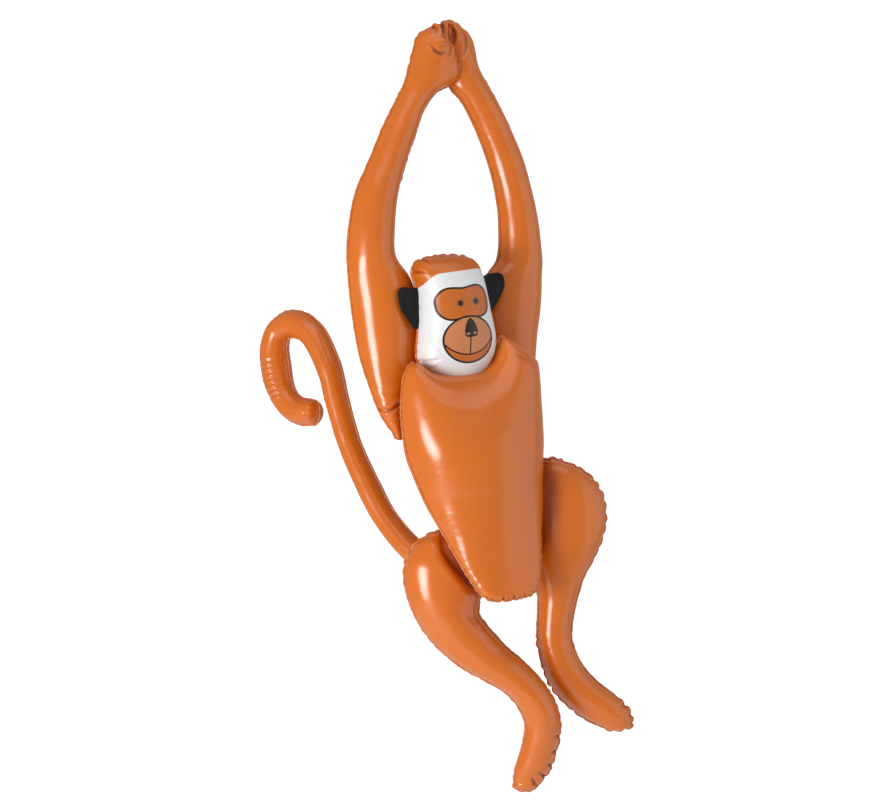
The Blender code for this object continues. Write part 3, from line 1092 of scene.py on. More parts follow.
@dataclass(frozen=True)
class FaceFinish(VinylFinish):
    """The printed film of the head: a white mask, an orange brow and muzzle, eyes, a nose and a smile.

    Sizes are millimetres of the head's own plane: half widths, half heights, and a box's corner radius.

    Args:
        white: The mask's colour.
        brow: The patch round the eyes.
        muzzle: The muzzle below the smile.
        ink: The lines, the nose and the pupils.
        nostril: The nostrils.
        iris: The eyes' middles.
        lash: The soft rings round the eyes.
        mask_size: The white mask.
        mask_down: How far its middle is below the head's.
        full_white: The level below which the film is white all across.
        drop_from: How far across the mask's top edge starts to drop.
        drop: How fast it drops, for each cubic millimetre past that.
        patch_size: The patch round the eyes.
        muzzle_size: The muzzle.
        smile_radius: The circle that the smile is part of.
        nose_size: The egg's half width, its height and how far up its narrow end is.
        nostril_size: One nostril.
        nostril_apart: How far each is from the nose's middle.
        eyes: Where the eyes are, across.
        eye_level: Where they are, up.
        heavy: Half the width of the outlines.
        fine: Half the width of the smile and of the line under the nose.
        soft: How far an edge blurs to each side.
    """

    white: Colour = (0.80, 0.81, 0.82)
    brow: Colour = (0.56, 0.135, 0.016)
    muzzle: Colour = (0.60, 0.215, 0.082)
    ink: Colour = (0.016, 0.006, 0.003)
    nostril: Colour = (0.50, 0.22, 0.15)
    iris: Colour = (0.045, 0.016, 0.008)
    lash: Colour = (0.16, 0.10, 0.075)
    mask_size: Triple = (45.0, 70.0, 22.0)
    mask_down: float = 13.0
    full_white: float = 14.0
    drop_from: float = 18.0
    drop: float = 0.0004
    patch_size: Triple = (32.0, 18.2, 15.5)
    muzzle_size: Pair = (31.0, 26.3)
    smile_radius: float = 37.8
    nose_size: Triple = (13.4, 21.8, 2.2)
    nostril_size: Pair = (2.5, 1.2)
    nostril_apart: float = 4.3
    eyes: Pair = (-6.8, 13.0)
    eye_level: float = 20.3
    heavy: float = 1.12
    fine: float = 0.85
    soft: float = 0.22

    def film_colour(self, graph: Graph) -> Wire:
        """The print, laid over the plain film and its painted crease shade, one shape after another.

        Args:
            graph: The material's nodes.

        Returns:
            The colour, plain on the back film.
        """
        plain = super().film_colour(graph)
        place = graph.node("ShaderNodeSeparateXYZ", {}, {"Vector": graph.attribute("plan", "Vector")})
        across, up = Wire(graph, place.outputs[0]), Wire(graph, place.outputs[2])

        # The mask's top edge drops towards the monkey's right. Below the brow the film is white all across.
        past = (-across - self.drop_from).at_least(0.0)
        level = up + self.mask_down + past * past * past * self.drop
        mask = self._box(across - 0.5, level, *self.mask_size).at_most(up - self.full_white)

        # The patch is narrower between the eyes, above and below.
        dip = ((across + 0.5) * (across + 0.5) * -0.012).maths("EXPONENT") * 1.6
        patch = self._box(across + 0.9, abs(up - 20.7) + dip, *self.patch_size)
        muzzle = self._ellipse(across + 0.6, up + 22.0, *self.muzzle_size)
        smile = ((across + 0.8) ** 2 + (up + 1.2) * (up + 1.2)) ** 0.5 - self.smile_radius
        lips = graph.mixed(self._inside(smile), self.brow, self.muzzle)

        # The line under the nose leans a little.
        centre = abs(across + 0.6 + (up + 28.0) * -0.11)
        stroke = centre.at_least(abs(up + 29.0) - 9.6)
        nose = self._nose(across - 1.9, up)
        nostril = self._ellipse(abs(across - 1.9) - self.nostril_apart, up + 15.4, *self.nostril_size)

        layers = [
            (self._inside(mask), self.white),
            (self._inside(patch), self.brow),
            (self._line(patch, self.heavy), self.ink),
            (self._inside(muzzle), lips),
            (self._line(muzzle, self.heavy), self.ink),
            (self._line(smile, self.fine) * (-up).stepped(20.5, 22.0) * self._inside(muzzle), self.ink),
            (self._line(stroke, self.fine) * (-up).stepped(18.5, 19.5), self.ink),
            (self._inside(nose), self.ink),
            (self._inside(nostril), self.nostril),
        ]
        for eye in self.eyes:
            ball = ((across - eye) ** 2 + (up - self.eye_level) * (up - self.eye_level)) ** 0.5
            layers.append((ball.stepped(5.4, 4.4) * 0.7, self.lash))
            layers.append((ball.stepped(3.2, 2.5), self.ink))
            layers.append((ball.stepped(1.7, 1.0) * 0.8, self.iris))
        colour = plain
        for share, print_colour in layers:
            colour = graph.mixed(share, colour, print_colour)
        return graph.mixed(graph.attribute("front").stepped(0.4, 0.8), plain, colour)

    @staticmethod
    def _box(across: Wire, up: Wire, half_width: float, half_height: float, corner: float) -> Wire:
        """Signed distance to a box with round corners.

        Args:
            across: Across from its middle.
            up: Up from its middle.
            half_width: Half its width.
            half_height: Half its height.
            corner: Its corners' radius.

        Returns:
            The distance, negative inside.
        """
        wide = (abs(across) - (half_width - corner)).at_least(0.0)
        high = (abs(up) - (half_height - corner)).at_least(0.0)
        return (wide * wide + high * high) ** 0.5 - corner

    @staticmethod
    def _ellipse(across: Wire, up: Wire, half_width: float, half_height: float) -> Wire:
        """Signed distance, near enough, to an ellipse.

        Args:
            across: Across from its middle.
            up: Up from its middle.
            half_width: Half its width.
            half_height: Half its height.

        Returns:
            The distance, negative inside.
        """
        wide, high = across / half_width, up / half_height
        size = (wide * wide + high * high) ** 0.5
        wide, high = wide / half_width, high / half_height
        slope = (wide * wide + high * high) ** 0.5 + 0.0001
        return size * (size - 1.0) / slope

    def _nose(self, across: Wire, up: Wire) -> Wire:
        """Signed distance, near enough, to an egg with its narrow end up.

        Args:
            across: Across from its middle.
            up: Up in the head's plane.

        Returns:
            The distance, negative inside.
        """
        wide, high, top = self.nose_size
        share = ((top - up) / high).at_least(0.0).at_most(1.0)
        half_width = share**0.62 * (1.0 - share) ** 0.22 * wide
        side = (abs(across) - half_width) * 0.85
        return side.at_least(up - top).at_least((top - high) - up)

    def _inside(self, distance: Wire) -> Wire:
        """1 inside a shape and 0 outside."""
        return distance.stepped(self.soft, -self.soft)

    def _line(self, distance: Wire, half_width: float) -> Wire:
        """1 on a shape's edge and 0 away from it."""
        return abs(distance).stepped(half_width + self.soft, half_width - self.soft)


# The second colour of each finish is the painted shade of its puckers and folds.
ORANGE = VinylFinish("orange_vinyl", (0.68, 0.149, 0.005), (0.30, 0.048, 0.001), 0.22)
WELD = VinylFinish("welded_edge", (0.62, 0.17, 0.020), (0.30, 0.06, 0.005), 0.40)
FACE = FaceFinish("printed_face", (0.61, 0.138, 0.009), (0.30, 0.048, 0.002), 0.28, gloss=0.5)
BLACK = VinylFinish("black_vinyl", (0.007, 0.006, 0.006), (0.002, 0.002, 0.002), 0.38, gloss=0.25)
CLEAR = VinylFinish("clear_valve", (0.74, 0.50, 0.33), (0.5, 0.3, 0.2), 0.30)


@dataclass
class Arms:
    """Both arms, from the clasped hands to where they end on the torso's sides."""

    right: tuple[tuple[float, ...], ...] = (
        (-24, 67, -1, 69, 5, 12),
        (-40, 58, -1, 57, 5, 17),
        (-46, 42, 7, 42, 5, 20),
        (-51, 22, 14, 27, 4, 22),
        (-56, 4, 16, 12, 3, 22),
        (-59, -5, 4, 0, 2, 21),
        (-64, -15, -14, -10, 0, 20.5),
        (-75, -36, -30, -32, 0, 20.5),
        (-84, -54, -37, -52, 0, 21),
        (-99, -88, -50, -87, 0, 22),
        (-117, -128, -62, -127, 0, 25.5),
        (-125, -168, -67, -166, 0, 28),
        (-126.5, -202, -65.5, -200, -2, 30.5),
        (-124, -230, -47, -224, -4, 32),
        (-120, -258, -36, -254, -6, 33.5),
        (-114, -292, -33, -290, -8, 33),
        (-108, -322, -36, -324, -6, 29),
        (-101, -350, -50, -352, 1, 21),
        (-94, -374, -62, -374, 6, 15),
        (-84, -394, -62, -396, 10, 9),
        (-73, -411, -63, -413, 14, 3.5),
    )
    left: tuple[tuple[float, ...], ...] = (
        (-4, 70, 20, 73, -7, 12),
        (-4, 60, 32, 64, -7, 17),
        (-4, 45, 39, 50, -7, 20),
        (-2, 20, 43, 27, -5, 21),
        (4, -3, 52, 8, -2, 21),
        (17, -17, 62, -8, 0, 20),
        (28, -34, 75, -31, 0, 20.5),
        (37, -51, 84, -48, 0, 20.5),
        (52, -86, 100, -83, 0, 21.5),
        (62, -121, 111, -119, 0, 23),
        (67, -156, 119, -153, 0, 25),
        (67, -198, 126, -196, -3, 27.5),
        (52, -221, 127, -221, -5, 29),
        (41, -256, 126, -258, -7, 31),
        (44, -290, 122, -291, -9, 30.5),
        (62, -335, 116, -335, -3, 24),
        (91, -378, 110, -378, 7, 13.5),
        (105, -411, 108, -411, 14, 3),
    )

    def chambers(self) -> list[Chamber]:
        """Both arms as chambers.

        Returns:
            The right arm and the left.
        """
        sides = (
            ("right", 11, self._right_folds(), self.right),
            ("left", 12, self._left_folds(), self.left),
        )
        return [
            Limb(
                name=f"arm_{side}_film",
                node=f"arm_{side}",
                plane=WeldPlane(),
                puckers=Puckering(seed, straight=0.45, curved=80.0, deepest=1.6),
                folds=folds,
                stations=stations,
                caps=(9.0, 2.0),
            )
            for side, seed, folds, stations in sides
        ]

    @staticmethod
    def _right_folds() -> tuple[Fold, ...]:
        """The creases of the right hand and of the arm's pinched end.

        Returns:
            The creases.
        """
        return (
            Fold(((-92, -356), (-78, -361), (-62, -359)), 0.7, 3.0, 0.4),
            Fold(((-93, -378), (-80, -379), (-70, -372), (-60, -366)), 2.6, 2.2, 1.0),
            Fold(((-80, -392), (-71, -391), (-62, -386)), 0.8, 1.6, 0.4),
            Fold(((-12, 80), (-13, 68), (-12, 53)), 8.0, 2.4, 1.4, True),
            Fold(((-22, 74), (-21, 64), (-24, 56)), 1.6, 2.2, 0.8),
            Fold(((-31, 44), (-27, 38), (-20, 34), (-10, 37)), 2.6, 2.4, 1.2),
            Fold(((-19, 52), (-16, 46)), -4.6, 6.0, 0.0),
            Fold(((-41, 50), (-36, 49), (-31, 50)), 0.8, 1.4, 0.2),
            Fold(((-38, 56), (-31, 58), (-25, 62)), 0.7, 1.5, 0.4),
            Fold(((-4, 52), (-4, 42), (-9, 30)), 2.0, 1.6, 0.9),
            Fold(((8, 34), (7, 24), (9, 14)), 2.4, 2.0, 0.8),
            Fold(((1, 46), (-1, 36), (-6, 27)), -1.6, 2.0, 0.0),
        )

    @staticmethod
    def _left_folds() -> tuple[Fold, ...]:
        """The creases of the left hand.

        Returns:
            The creases.
        """
        return (
            Fold(((3, 70), (5, 60), (3, 48)), 4.0, 2.2, 0.9),
            Fold(((11, 66), (9, 54), (5, 42)), -2.6, 2.4, 0.0),
            Fold(((16, 66), (20, 56), (19, 44), (14, 34)), 2.2, 2.8, 0.9),
            Fold(((28, 54), (25, 46), (28, 38)), 1.0, 1.8, 0.5),
            Fold(((22, 30), (26, 20), (24, 8)), 0.9, 2.4, 0.4),
        )


@dataclass
class Legs:
    """Both legs, each in a plane turned to the monkey's right."""

    right: tuple[tuple[float, ...], ...] = (
        (-26, -524, 9, -519, 0, 13),
        (-38, -532, 18, -534, 0, 22),
        (-48, -548, 28, -560, 0, 29),
        (-51, -563, 36, -579, 0, 31),
        (-50, -582, 40, -594, 0, 31.5),
        (-46, -598, 38, -605, 0, 31.5),
        (-40, -613, 38, -614, 0, 31),
        (-32, -628, 45, -624, 0, 30),
        (-20, -645, 56, -637, 0, 29),
        (-2, -663, 71, -653, 0, 28),
        (21, -680, 90, -669, 0, 27),
        (47, -694, 108, -688, 0, 25.5),
        (68, -707, 120, -704, 0, 24.5),
        (82, -724, 128, -721, -1, 23),
        (89, -742, 132, -740, -3.5, 22),
        (87, -760, 131, -759, -6.5, 21),
        (82, -779, 126, -779, -10, 19),
        (77, -796, 121, -795, -13, 17),
        (76, -810, 109, -812, -15, 12),
    )
    left: tuple[tuple[float, ...], ...] = (
        (108, -440, 136, -438, 0, 16),
        (94, -450, 153, -444, 0, 23),
        (84, -468, 174, -461, 0, 27.5),
        (81, -490, 185, -483, 0, 30),
        (82, -512, 187, -509, 0, 31),
        (87, -536, 182, -532, 0, 30.5),
        (94, -557, 172, -554, 0, 29),
        (101, -578, 161, -575, 0, 27),
        (105, -598, 154, -597, 0, 24.5),
        (105, -615, 150, -614, 0, 23),
        (104, -633, 147, -633, 0, 22),
        (104, -651, 148, -651, 0, 21.5),
        (108, -669, 154, -667, 0, 22),
        (112, -685, 164, -683, 0, 22.5),
        (120, -703, 179, -698, 0, 22.5),
        (133, -719, 196, -711, 0, 22),
        (151, -735, 210, -723, 0, 20.5),
        (168, -745, 217, -735, 0, 17),
        (184, -752, 218, -745, 0, 11),
    )

    def chambers(self) -> list[Chamber]:
        """Both legs as chambers.

        Returns:
            The right leg and the left.
        """
        knee = tuple(
            Fold(((54 + 5 * k, -688 - 4 * k), (60 + 5 * k, -697 - 4 * k)), 0.5, 1.4, 0.25) for k in range(5)
        )
        hip = (
            Fold(((-7, -517), (-2, -538), (14, -560), (38, -586)), 4.5, 6.0, 1.6),
            Fold(((6, -528), (12, -540), (20, -549)), 1.2, 1.8, 0.6),
            Fold(((19, -560), (27, -563), (33, -571)), 1.2, 1.8, 0.6),
        )
        pressed = Fold(((114, -436), (112, -478), (107, -512), (100, -552)), 3.6, 17.0, 0.0)
        toes = tuple(
            Fold((outside, middle, inside), 3.0, 1.8, 0.5, True)
            for outside, middle, inside in (
                ((138, -755), (130, -755), (124, -754)),
                ((133, -777), (126, -774), (120, -772)),
                ((127, -796), (120, -790), (115, -786)),
                ((117, -808), (110, -800), (106, -795)),
                ((105, -817), (100, -808), (98, -802)),
            )
        )
        return [
            Limb(
                name="leg_right_film",
                node="leg_right",
                plane=WeldPlane(turn=-25, ahead=42),
                puckers=Puckering(21, pitch=(8, 13), curved=80.0, deepest=2.2),
                folds=knee + hip + toes,
                stations=self.right,
                caps=(5.0, 12.0),
            ),
            Limb(
                name="leg_left_film",
                node="leg_left",
                plane=WeldPlane(turn=-25, ahead=2),
                puckers=Puckering(22, pitch=(10, 15), curved=190.0, deepest=3.8),
                folds=(pressed,),
                stations=self.left,
                caps=(5.0, 8.0),
            ),
        ]


@dataclass
class Tail:
    """The tail: a tube that climbs behind the monkey and curls over.

    Args:
        path: Along the plane, up, radius.
    """

    path: tuple[Triple, ...] = (
        (-10, -579, 15),
        (-56, -573, 15),
        (-108, -544, 16.5),
        (-145, -510, 16),
        (-170, -474, 16),
        (-199, -422, 15.5),
        (-219, -367, 16),
        (-230, -331, 17),
        (-250, -295, 18),
        (-268, -279, 18),
        (-290, -274, 18),
        (-309, -283, 18),
        (-316, -303, 19.5),
        (-314, -324, 20.5),
        (-309, -346, 19.5),
        (-298, -366, 18),
        (-279, -380, 18),
        (-254, -383, 16.5),
    )

    def stations(self) -> tuple[tuple[float, ...], ...]:
        """The tube's two edges, either side of its path.

        Returns:
            The stations that a Limb takes.
        """
        rows = even_rows(smooth_rows(np.array(self.path), 12), 6.0, 2)
        along = np.gradient(rows[:, :2], axis=0)
        along /= np.linalg.norm(along, axis=1, keepdims=True)
        side = np.stack((-along[:, 1], along[:, 0]), axis=1)
        reach = side * rows[:, 2:3]
        zero = np.zeros((len(rows), 1))
        table = np.hstack((rows[:, :2] + reach, rows[:, :2] - reach, zero, rows[:, 2:3]))
        return tuple(tuple(float(v) for v in row) for row in table)

    def chambers(self) -> list[Chamber]:
        """The tail as a chamber.

        Returns:
            The chamber, alone in a list.
        """
        ripples = []
        for k in range(7):
            outside, middle = (-331 + 2 * k, -320 - 7 * k), (-319 + 2 * k, -322 - 7 * k)
            ripples.append(Fold((outside, middle, (-305 + 2 * k, -318 - 6.5 * k)), 0.8 + 0.08 * k, 1.9, 0.45))
        tip = []
        for k in range(3):
            tip.append(Fold(((-252 + 2 * k, -392 + 7 * k), (-262 + 3 * k, -388 + 5 * k)), 1.0, 1.4, 0.5))
        return [
            Limb(
                name="tail_film",
                node="tail",
                plane=WeldPlane(origin=(32, 42, 0), turn=-60),
                puckers=Puckering(31, straight=0.22, curved=18.0, deepest=1.0),
                folds=(*ripples, *tip),
                flange=1.8,
                stations=self.stations(),
                caps=(10.0, 9.0),
            )
        ]


@dataclass
class Body:
    """The tapered torso, curved forward at the hips."""

    corners: tuple[Pair, ...] = (
        (-8, -1), (8, -1), (20, 2), (33, 11), (40, 25), (46, 35), (53, 34), (66, 26), (80, 14), (88, 4),
        (89, -12), (86, -50), (83, -85), (77, -117), (69, -156), (60, -184), (50, -217), (42, -238),
        (35, -251), (25, -258), (12, -260), (0, -260), (-12, -260), (-25, -258), (-35, -251),
        (-42, -238), (-50, -217), (-60, -184), (-69, -156), (-79, -117), (-86, -85), (-88, -50),
        (-86, -22), (-82, -4), (-77, 9), (-70, 16), (-61, 14), (-48, 5), (-30, 0),
    )  # fmt: skip

    ridge: tuple[tuple[float, float, float, float], ...] = (
        (-54, 0, 76.5, 55), (-80, 1, 77, 57), (-105, 3, 72, 59), (-130, 9, 61, 58), (-150, 15, 51, 56),
        (-200, 36, 28, 41), (-226, 47, 19, 32),
    )  # fmt: skip

    def chambers(self) -> list[Chamber]:
        """The torso as a chamber.

        Returns:
            The chamber, alone in a list.
        """
        places = (-27, -13, 1, 15, 28)
        hem = (Fold(((a, -272), (a, -263), (0.95 * a, -254)), 2.6, 1.5, 0.5, True) for a in places)
        return [
            Pillow(
                name="torso_film",
                node="torso",
                plane=WeldPlane(origin=(5, 45, -335), roll=-6),
                puckers=Puckering(41, pitch=(7, 12), straight=0.3, curved=80.0, deepest=2.4, reach=(4, 9)),
                folds=(
                    Fold(((-70, -9), (-50, -24), (-24, -30), (2, -24), (22, -6)), 0.5, 5.0, 0.3),
                    Fold(((48, 20), (58, 12), (72, 6)), 1.2, 2.4, 0.7),
                    *hem,
                ),
                corners=self.corners,
                ridge=self.ridge,
                widths=(
                    (40, 190), (0, 160), (-36, 130), (-62, 108), (-91, 90), (-120, 79), (-150, 71),
                    (-200, 56), (-226, 47), (-260, 38),
                ),  # fmt: skip
                edge=((60, 0), (32, 0), (-40, 0), (-91, 1), (-120, 6), (-150, 15), (-210, 40), (-268, 64)),
            )
        ]


@dataclass(frozen=True)
class FlapRule:
    """How an ear's two films are padded and cupped, in millimetres.

    Args:
        rings: Rings of points from its edge to its middle.
        middle_in: How far in from the edge its middle counts as lying.
        edge: Half its thickness at the edge.
        border: Half its thickness on the welded border.
        pad: How much that grows on the pad.
        pad_reach: How far in the pad has its full thickness.
        groove: How much of the pad's growth the weld's groove takes away.
        groove_in: How far in the groove lies.
        groove_spread: Its width, squared.
        cup: How fast the flap bends forward, for each square millimetre away from cup_from.
        cup_from: Where it is flattest, across the head.
        wave: How far it waves from top to bottom.
        wave_rate: How fast it waves, in radians for each millimetre.
        ahead: How far forward of the head's plane it stands.
    """

    rings: int = 14
    middle_in: float = 18.0
    edge: float = 0.4
    border: float = 0.55
    pad: float = 0.5
    pad_reach: float = 9.0
    groove: float = 0.35
    groove_in: float = 4.5
    groove_spread: float = 6.0
    cup: float = 0.0032
    cup_from: float = 45.0
    wave: float = 0.4
    wave_rate: float = 0.21
    ahead: float = 1.0

    def half_thickness(self, inset: float) -> float:
        """Half the flap's thickness.

        Args:
            inset: How far in from the edge.

        Returns:
            Millimetres.
        """
        dent = math.exp(-((inset - self.groove_in) ** 2) / self.groove_spread)
        return self.border + self.pad * dent * -self.groove + self.pad * min(inset / self.pad_reach, 1.0)


@dataclass
class Head:
    """The printed head and its two flat ears."""

    flap: FlapRule = FlapRule()
    plane: WeldPlane = WeldPlane(origin=(-6, 30, -276), roll=-8.5)
    corners: tuple[Pair, ...] = (
        (-7, 77), (11, 75), (27, 71), (36, 63), (40, 50), (42.5, 28), (44, 4), (45.5, -11), (46, -25),
        (44, -38), (39, -49), (29, -61), (14, -71), (-2, -75), (-18, -73), (-34, -63), (-45, -51),
        (-50.5, -41), (-51.5, -32), (-50, -22), (-46.5, -9), (-44, 5), (-41.5, 23), (-40, 39), (-41, 49),
        (-43.5, 58), (-42, 68), (-32, 75),
    )  # fmt: skip
    ear_right: tuple[Pair, ...] = (
        (-38, 42), (-47.5, 44), (-56.4, 47), (-63.7, 45.5), (-66.5, 39), (-64.8, 21.5), (-56.7, 7.7),
        (-50, -3), (-43, 2), (-36, 20),
    )  # fmt: skip
    ear_left: tuple[Pair, ...] = (
        (36, 44), (46, 47), (54, 48.7), (65.5, 48), (70.3, 42.4), (69.6, 31), (63, 19.3), (54.2, 9.2),
        (47.7, 3), (40, 8), (34, 28),
    )  # fmt: skip

    def chambers(self) -> list[Chamber]:
        """The head as a chamber.

        Returns:
            The chamber, alone in a list.
        """
        return [
            Pillow(
                name="head_film",
                node="head",
                plane=self.plane,
                puckers=Puckering(53, pitch=(10, 17), straight=0.7, curved=70.0, deepest=2.6, reach=(5, 12)),
                folds=(
                    Fold(((-49, 64), (-43, 62), (-38, 61)), 2.2, 1.6, 0.5, True),
                    Fold(((-32, 85), (-31, 77), (-29, 70)), 2.6, 1.6, 0.6, True),
                    Fold(((-9, 87), (-9, 79), (-8, 73)), 2.4, 1.4, 0.5, True),
                    Fold(((4, 86), (4, 79), (5, 73)), 2.0, 1.3, 0.5, True),
                    Fold(((18, 84), (18, 76), (17, 70)), 2.6, 1.5, 0.6, True),
                    Fold(((-52, -40), (-43, -41), (-37, -40)), 1.8, 1.5, 0.6),
                    Fold(((-45, -50), (-38, -48)), 0.9, 1.6, 0.4),
                ),
                fullness=0.9,
                corners=self.corners,
                ridge=((34, 0, 40, 34), (0, 0, 41, 35), (-34, 0, 40, 34)),
                widths=((80, 36), (0, 36), (-80, 36)),
            )
        ]

    def ears(self) -> list[tuple[bpy.types.Object, str]]:
        """Makes the ears: flat flaps with a welded border, cupped a little forward.

        Returns:
            Each ear with the CAD node that it stands for.
        """
        return [
            (self._ear("ear_right_flap", self.ear_right), "ear_right"),
            (self._ear("ear_left_flap", self.ear_left), "ear_left"),
        ]

    def _ear(self, name: str, corners: tuple[Pair, ...]) -> bpy.types.Object:
        """One ear.

        Args:
            name: The piece's name.
            corners: Its outline in the head's plane.

        Returns:
            The ear's object.
        """
        rule = self.flap
        rings = rule.rings
        rim = even_rows(smooth_rows(np.array(corners), 16, closed=True), RIM_STEP, 2, closed=True)
        count = len(rim)
        middle = rim.mean(axis=0)
        points = []
        for sense in (1.0, -1.0):
            for ring in range(rings + 1):
                share = 1 - ring / rings
                plan = middle + (rim - middle) * share
                half = rule.half_thickness((1 - share) * rule.middle_in) if ring else rule.edge
                bend = rule.cup * (np.abs(plan[:, 0]) - rule.cup_from) ** 2
                cup = bend + rule.wave * np.sin(plan[:, 1] * rule.wave_rate)
                points.append(np.stack((plan[:, 0], cup + sense * half, plan[:, 1]), axis=1))
        local = np.vstack(points)
        local[:, 1] += rule.ahead
        loop = np.arange(count)
        faces = []
        for half in range(2):
            for ring in range(rings):
                near = (half * (rings + 1) + ring) * count
                faces.append(strip(near + loop, near + count + loop, 1))
        faces.append(strip(loop, (rings + 1) * count + loop, 1))
        made = mesh_of(name, self.plane.place(local), [np.vstack(faces)])
        face_outward(made)
        return made


@dataclass
class Valve:
    """The inflation valve on the torso's back: a welded collar, a stem, and a plug pressed into it.

    Args:
        profile: Radius and height of its outline, from the plug's top down to the collar's underside.
        segments: How many faces it has round its axis.
        slope: The torso's back there: forward and down.
        roll: Degrees that the torso leans.
        sunk: How far the collar sinks into the film.
        point: The radius that its two ends close to.
    """

    profile: tuple[Pair, ...] = (
        (0, 9.4), (3.0, 9.5), (7.2, 9.4), (8.3, 9.0), (8.5, 8.3), (8.2, 7.7), (7.0, 7.5), (6.6, 7.2),
        (6.5, 6.4), (6.5, 3.4), (6.8, 2.4), (7.8, 1.7), (9.6, 1.5), (12.2, 1.4), (12.9, 1.0),
        (13.0, 0.2), (12.6, -1.2), (9.0, -3.0), (0, -3.5),
    )  # fmt: skip
    segments: int = 48
    slope: Pair = (42.0, 109.0)
    roll: float = -6.0
    sunk: float = 1.2
    point: float = 0.01

    def build(self) -> bpy.types.Object:
        """Turns the profile about the valve's axis, where the CAD valve stands.

        Returns:
            The valve's object.
        """
        low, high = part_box("valve")
        centre = (np.array(low) + np.array(high)) / 2 / MM
        lean, roll = math.atan2(*self.slope), math.radians(self.roll)
        out = np.array((0.0, math.cos(lean), -math.sin(lean)))
        out = np.array((out[2] * math.sin(roll), out[1], out[2] * math.cos(roll)))
        across = np.cross(out, (0.0, 0.0, 1.0))
        across /= np.linalg.norm(across)
        up = np.cross(across, out)
        angle = np.arange(self.segments) * 2 * np.pi / self.segments
        spokes = np.cos(angle)[:, None] * across + np.sin(angle)[:, None] * up
        points = []
        for radius, height in self.profile:
            points.append(centre + out * (height - self.sunk) + spokes * max(radius, self.point))
        loop = np.arange(self.segments)
        rings = range(len(self.profile) - 1)
        faces = [strip(k * self.segments + loop, (k + 1) * self.segments + loop, 1) for k in rings]
        made = mesh_of("valve_plug", np.vstack(points), [np.vstack(faces)])
        face_outward(made)
        return made


def aimed(name: str, data: bpy.types.ID, place: Vector, back: Vector) -> bpy.types.Object:
    """Links a camera or a light.

    Args:
        name: Its object's name.
        data: The camera or the light.
        place: Where it stands.
        back: The direction behind it.

    Returns:
        The new object.
    """
    made = bpy.data.objects.new(name, data)
    made.location = place
    made.rotation_mode = "QUATERNION"
    made.rotation_quaternion = (-back).to_track_quat("-Z", "Y")
    bpy.context.scene.collection.objects.link(made)
    return made


@dataclass(frozen=True)
class SoftBox:
    """A soft light that faces the camera's target.

    Args:
        name: The light's name.
        azimuth: Degrees round from the camera, positive to its right.
        elevation: Degrees above the horizon.
        distance: How far from the target, in metres.
        size: Width and height, in metres.
        power: Its power in watts.
    """

    name: str
    azimuth: float
    elevation: float
    distance: float
    size: Pair
    power: float


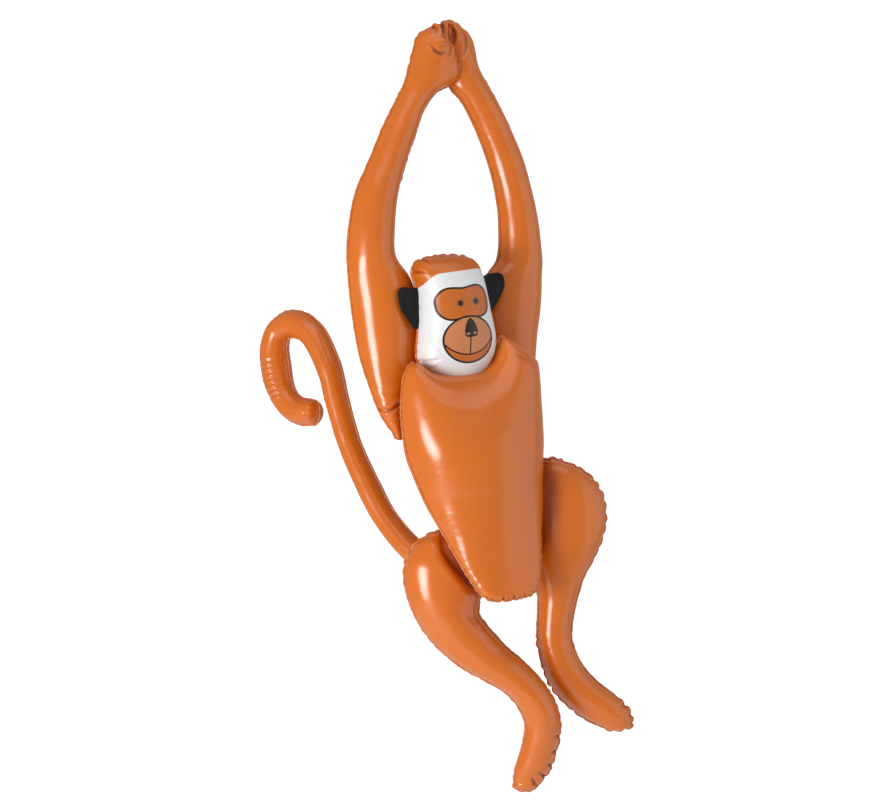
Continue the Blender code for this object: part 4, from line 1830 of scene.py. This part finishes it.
@dataclass
class Studio:
    """The camera, the lights and the pale floor.

    Args:
        azimuth: Where the camera stands round the monkey, in degrees.
        distance: How far off it is, in metres.
        lens: Its focal length.
        aim: The point it looks at, across and up in its own view, in metres.
        boxes: The lights.
        fill: How strongly the backdrop lights the monkey.
        exposure: How much brighter the picture is made, in stops.
        floor_level: The floor's height, in metres.
        floor_radius: The floor's radius, in metres.
        floor_glow: How much light of its own the floor gives.
    """

    azimuth: float = -25.0
    distance: float = 2.86
    lens: float = 100.0
    aim: Pair = (-0.00819, -0.36738)
    boxes: tuple[SoftBox, ...] = (
        SoftBox("softbox_left", -44.0, -8.0, 2.2, (1.08, 0.82), 24.0),
        SoftBox("softbox_glow", -44.0, -2.0, 2.3, (1.6, 1.2), 2.4),
        SoftBox("wall_right", 78.0, 4.0, 2.2, (2.6, 2.9), 10.0),
        SoftBox("overhead", 6.0, 62.0, 2.0, (2.4, 1.9), 9.5),
    )
    fill: float = 0.337
    exposure: float = 0.18
    floor_level: float = -1.25
    floor_radius: float = 1.7
    floor_glow: float = 0.14

    def build(self) -> None:
        """Sets the studio up."""
        turn = math.radians(self.azimuth)
        right = Vector((math.cos(turn), math.sin(turn), 0))
        back = Vector((math.sin(turn), -math.cos(turn), 0))
        target = right * self.aim[0] + Vector((0, 0, self.aim[1]))
        data = bpy.data.cameras.new("camera")
        data.lens = self.lens
        data.sensor_width = 36.0
        bpy.context.scene.camera = aimed("camera", data, target + back * self.distance, back)
        for box in self.boxes:
            self._light(box, target)
        self._world()
        self._floor(target)
        view = bpy.context.scene.view_settings
        view.view_transform = "Standard"
        view.look = "None"
        view.exposure = self.exposure

    def _light(self, box: SoftBox, target: Vector) -> None:
        """Adds a soft box.

        Args:
            box: The light.
            target: What it faces.
        """
        turn, rise = math.radians(self.azimuth + box.azimuth), math.radians(box.elevation)
        out = Vector((math.sin(turn) * math.cos(rise), -math.cos(turn) * math.cos(rise), math.sin(rise)))
        data = bpy.data.lights.new(box.name, "AREA")
        data.shape = "ELLIPSE"
        data.size, data.size_y = box.size
        data.energy = box.power
        aimed(box.name, data, target + out * box.distance, out)

    def _world(self) -> None:
        """A backdrop that is white to the eye and dimmer as a light."""
        world = bpy.data.worlds.new("backdrop")
        bpy.context.scene.world = world
        graph = Graph(world)
        seen = graph.wire("ShaderNodeLightPath", output="Is Camera Ray")
        light = graph.wire("ShaderNodeBackground", {}, {"Color": WHITE, "Strength": self.fill})
        plain = graph.wire("ShaderNodeBackground", {}, {"Color": WHITE})
        choice = graph.wire("ShaderNodeMixShader", {}, {0: seen, 1: light, 2: plain})
        graph.node("ShaderNodeOutputWorld", {}, {"Surface": choice})

    def _floor(self, target: Vector) -> None:
        """Lays a plain pale floor under the hanging monkey.

        Args:
            target: What the camera looks at, which the floor is centred under.
        """
        count = 96
        angle = np.arange(count) * 2 * np.pi / count
        radius = self.floor_radius
        rim = np.stack((np.cos(angle) * radius, np.sin(angle) * radius, np.zeros(count)), axis=1)
        centre = np.array((target.x, target.y, self.floor_level))
        points = np.vstack((rim + centre, rim * 0.5 + centre, centre[None])) / MM
        loop = np.arange(count)
        faces = [strip(loop, count + loop, 1), strip(count + loop, np.full(count, 2 * count), 1)]
        floor = mesh_of("studio_floor", points, [np.vstack(faces)])
        graph = Graph(bpy.data.materials.new("pale_floor"))
        shade = graph.mixed(graph.noise(3.0), (0.91, 0.91, 0.91), (0.94, 0.94, 0.94))
        glow = {"Emission Color": WHITE, "Emission Strength": self.floor_glow}
        floor.data.materials.append(graph.finish({"Base Color": shade, "Roughness": 0.7, **glow}))


@dataclass
class Monkey:
    """The whole monkey, built part by part."""

    arms: Arms = field(default_factory=Arms)
    legs: Legs = field(default_factory=Legs)
    tail: Tail = field(default_factory=Tail)
    body: Body = field(default_factory=Body)
    head: Head = field(default_factory=Head)
    valve: Valve = field(default_factory=Valve)

    def build(self) -> None:
        """Builds and dresses every piece."""
        orange, weld = ORANGE.material(), WELD.material()
        face, black, clear = FACE.material(), BLACK.material(), CLEAR.material()
        for part in (self.body, self.arms, self.legs, self.tail, self.head):
            for chamber in part.chambers():
                film = face if chamber.node == "head" else orange
                slot = "printed_vinyl" if chamber.node == "head" else "orange_vinyl"
                self._dress(chamber.build(), chamber.node, slot, film, weld)
        for ear, node in self.head.ears():
            self._dress(ear, node, "black_vinyl", black)
        self._dress(self.valve.build(), "valve", "clear_valve", clear)

    @staticmethod
    def _dress(piece: bpy.types.Object, node: str, slot: str, *materials: bpy.types.Material) -> None:
        """Gives a piece its materials and puts it in its CAD node's place.

        Args:
            piece: The new piece.
            node: The CAD node that it stands for.
            slot: The name of its material slot, not used.
            materials: Its materials, in the order of its face groups.
        """
        for material in materials:
            piece.data.materials.append(material)
        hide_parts(node)
        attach(piece, "root")
        LOG.info("%s stands for %s, %d faces", piece.name, node, len(piece.data.polygons))


def main() -> None:
    """Builds the monkey and the studio."""
    logging.basicConfig(level=logging.INFO)
    Monkey().build()
    Studio().build()
    bpy.context.view_layer.update()


if __name__ == "__main__":
    main()
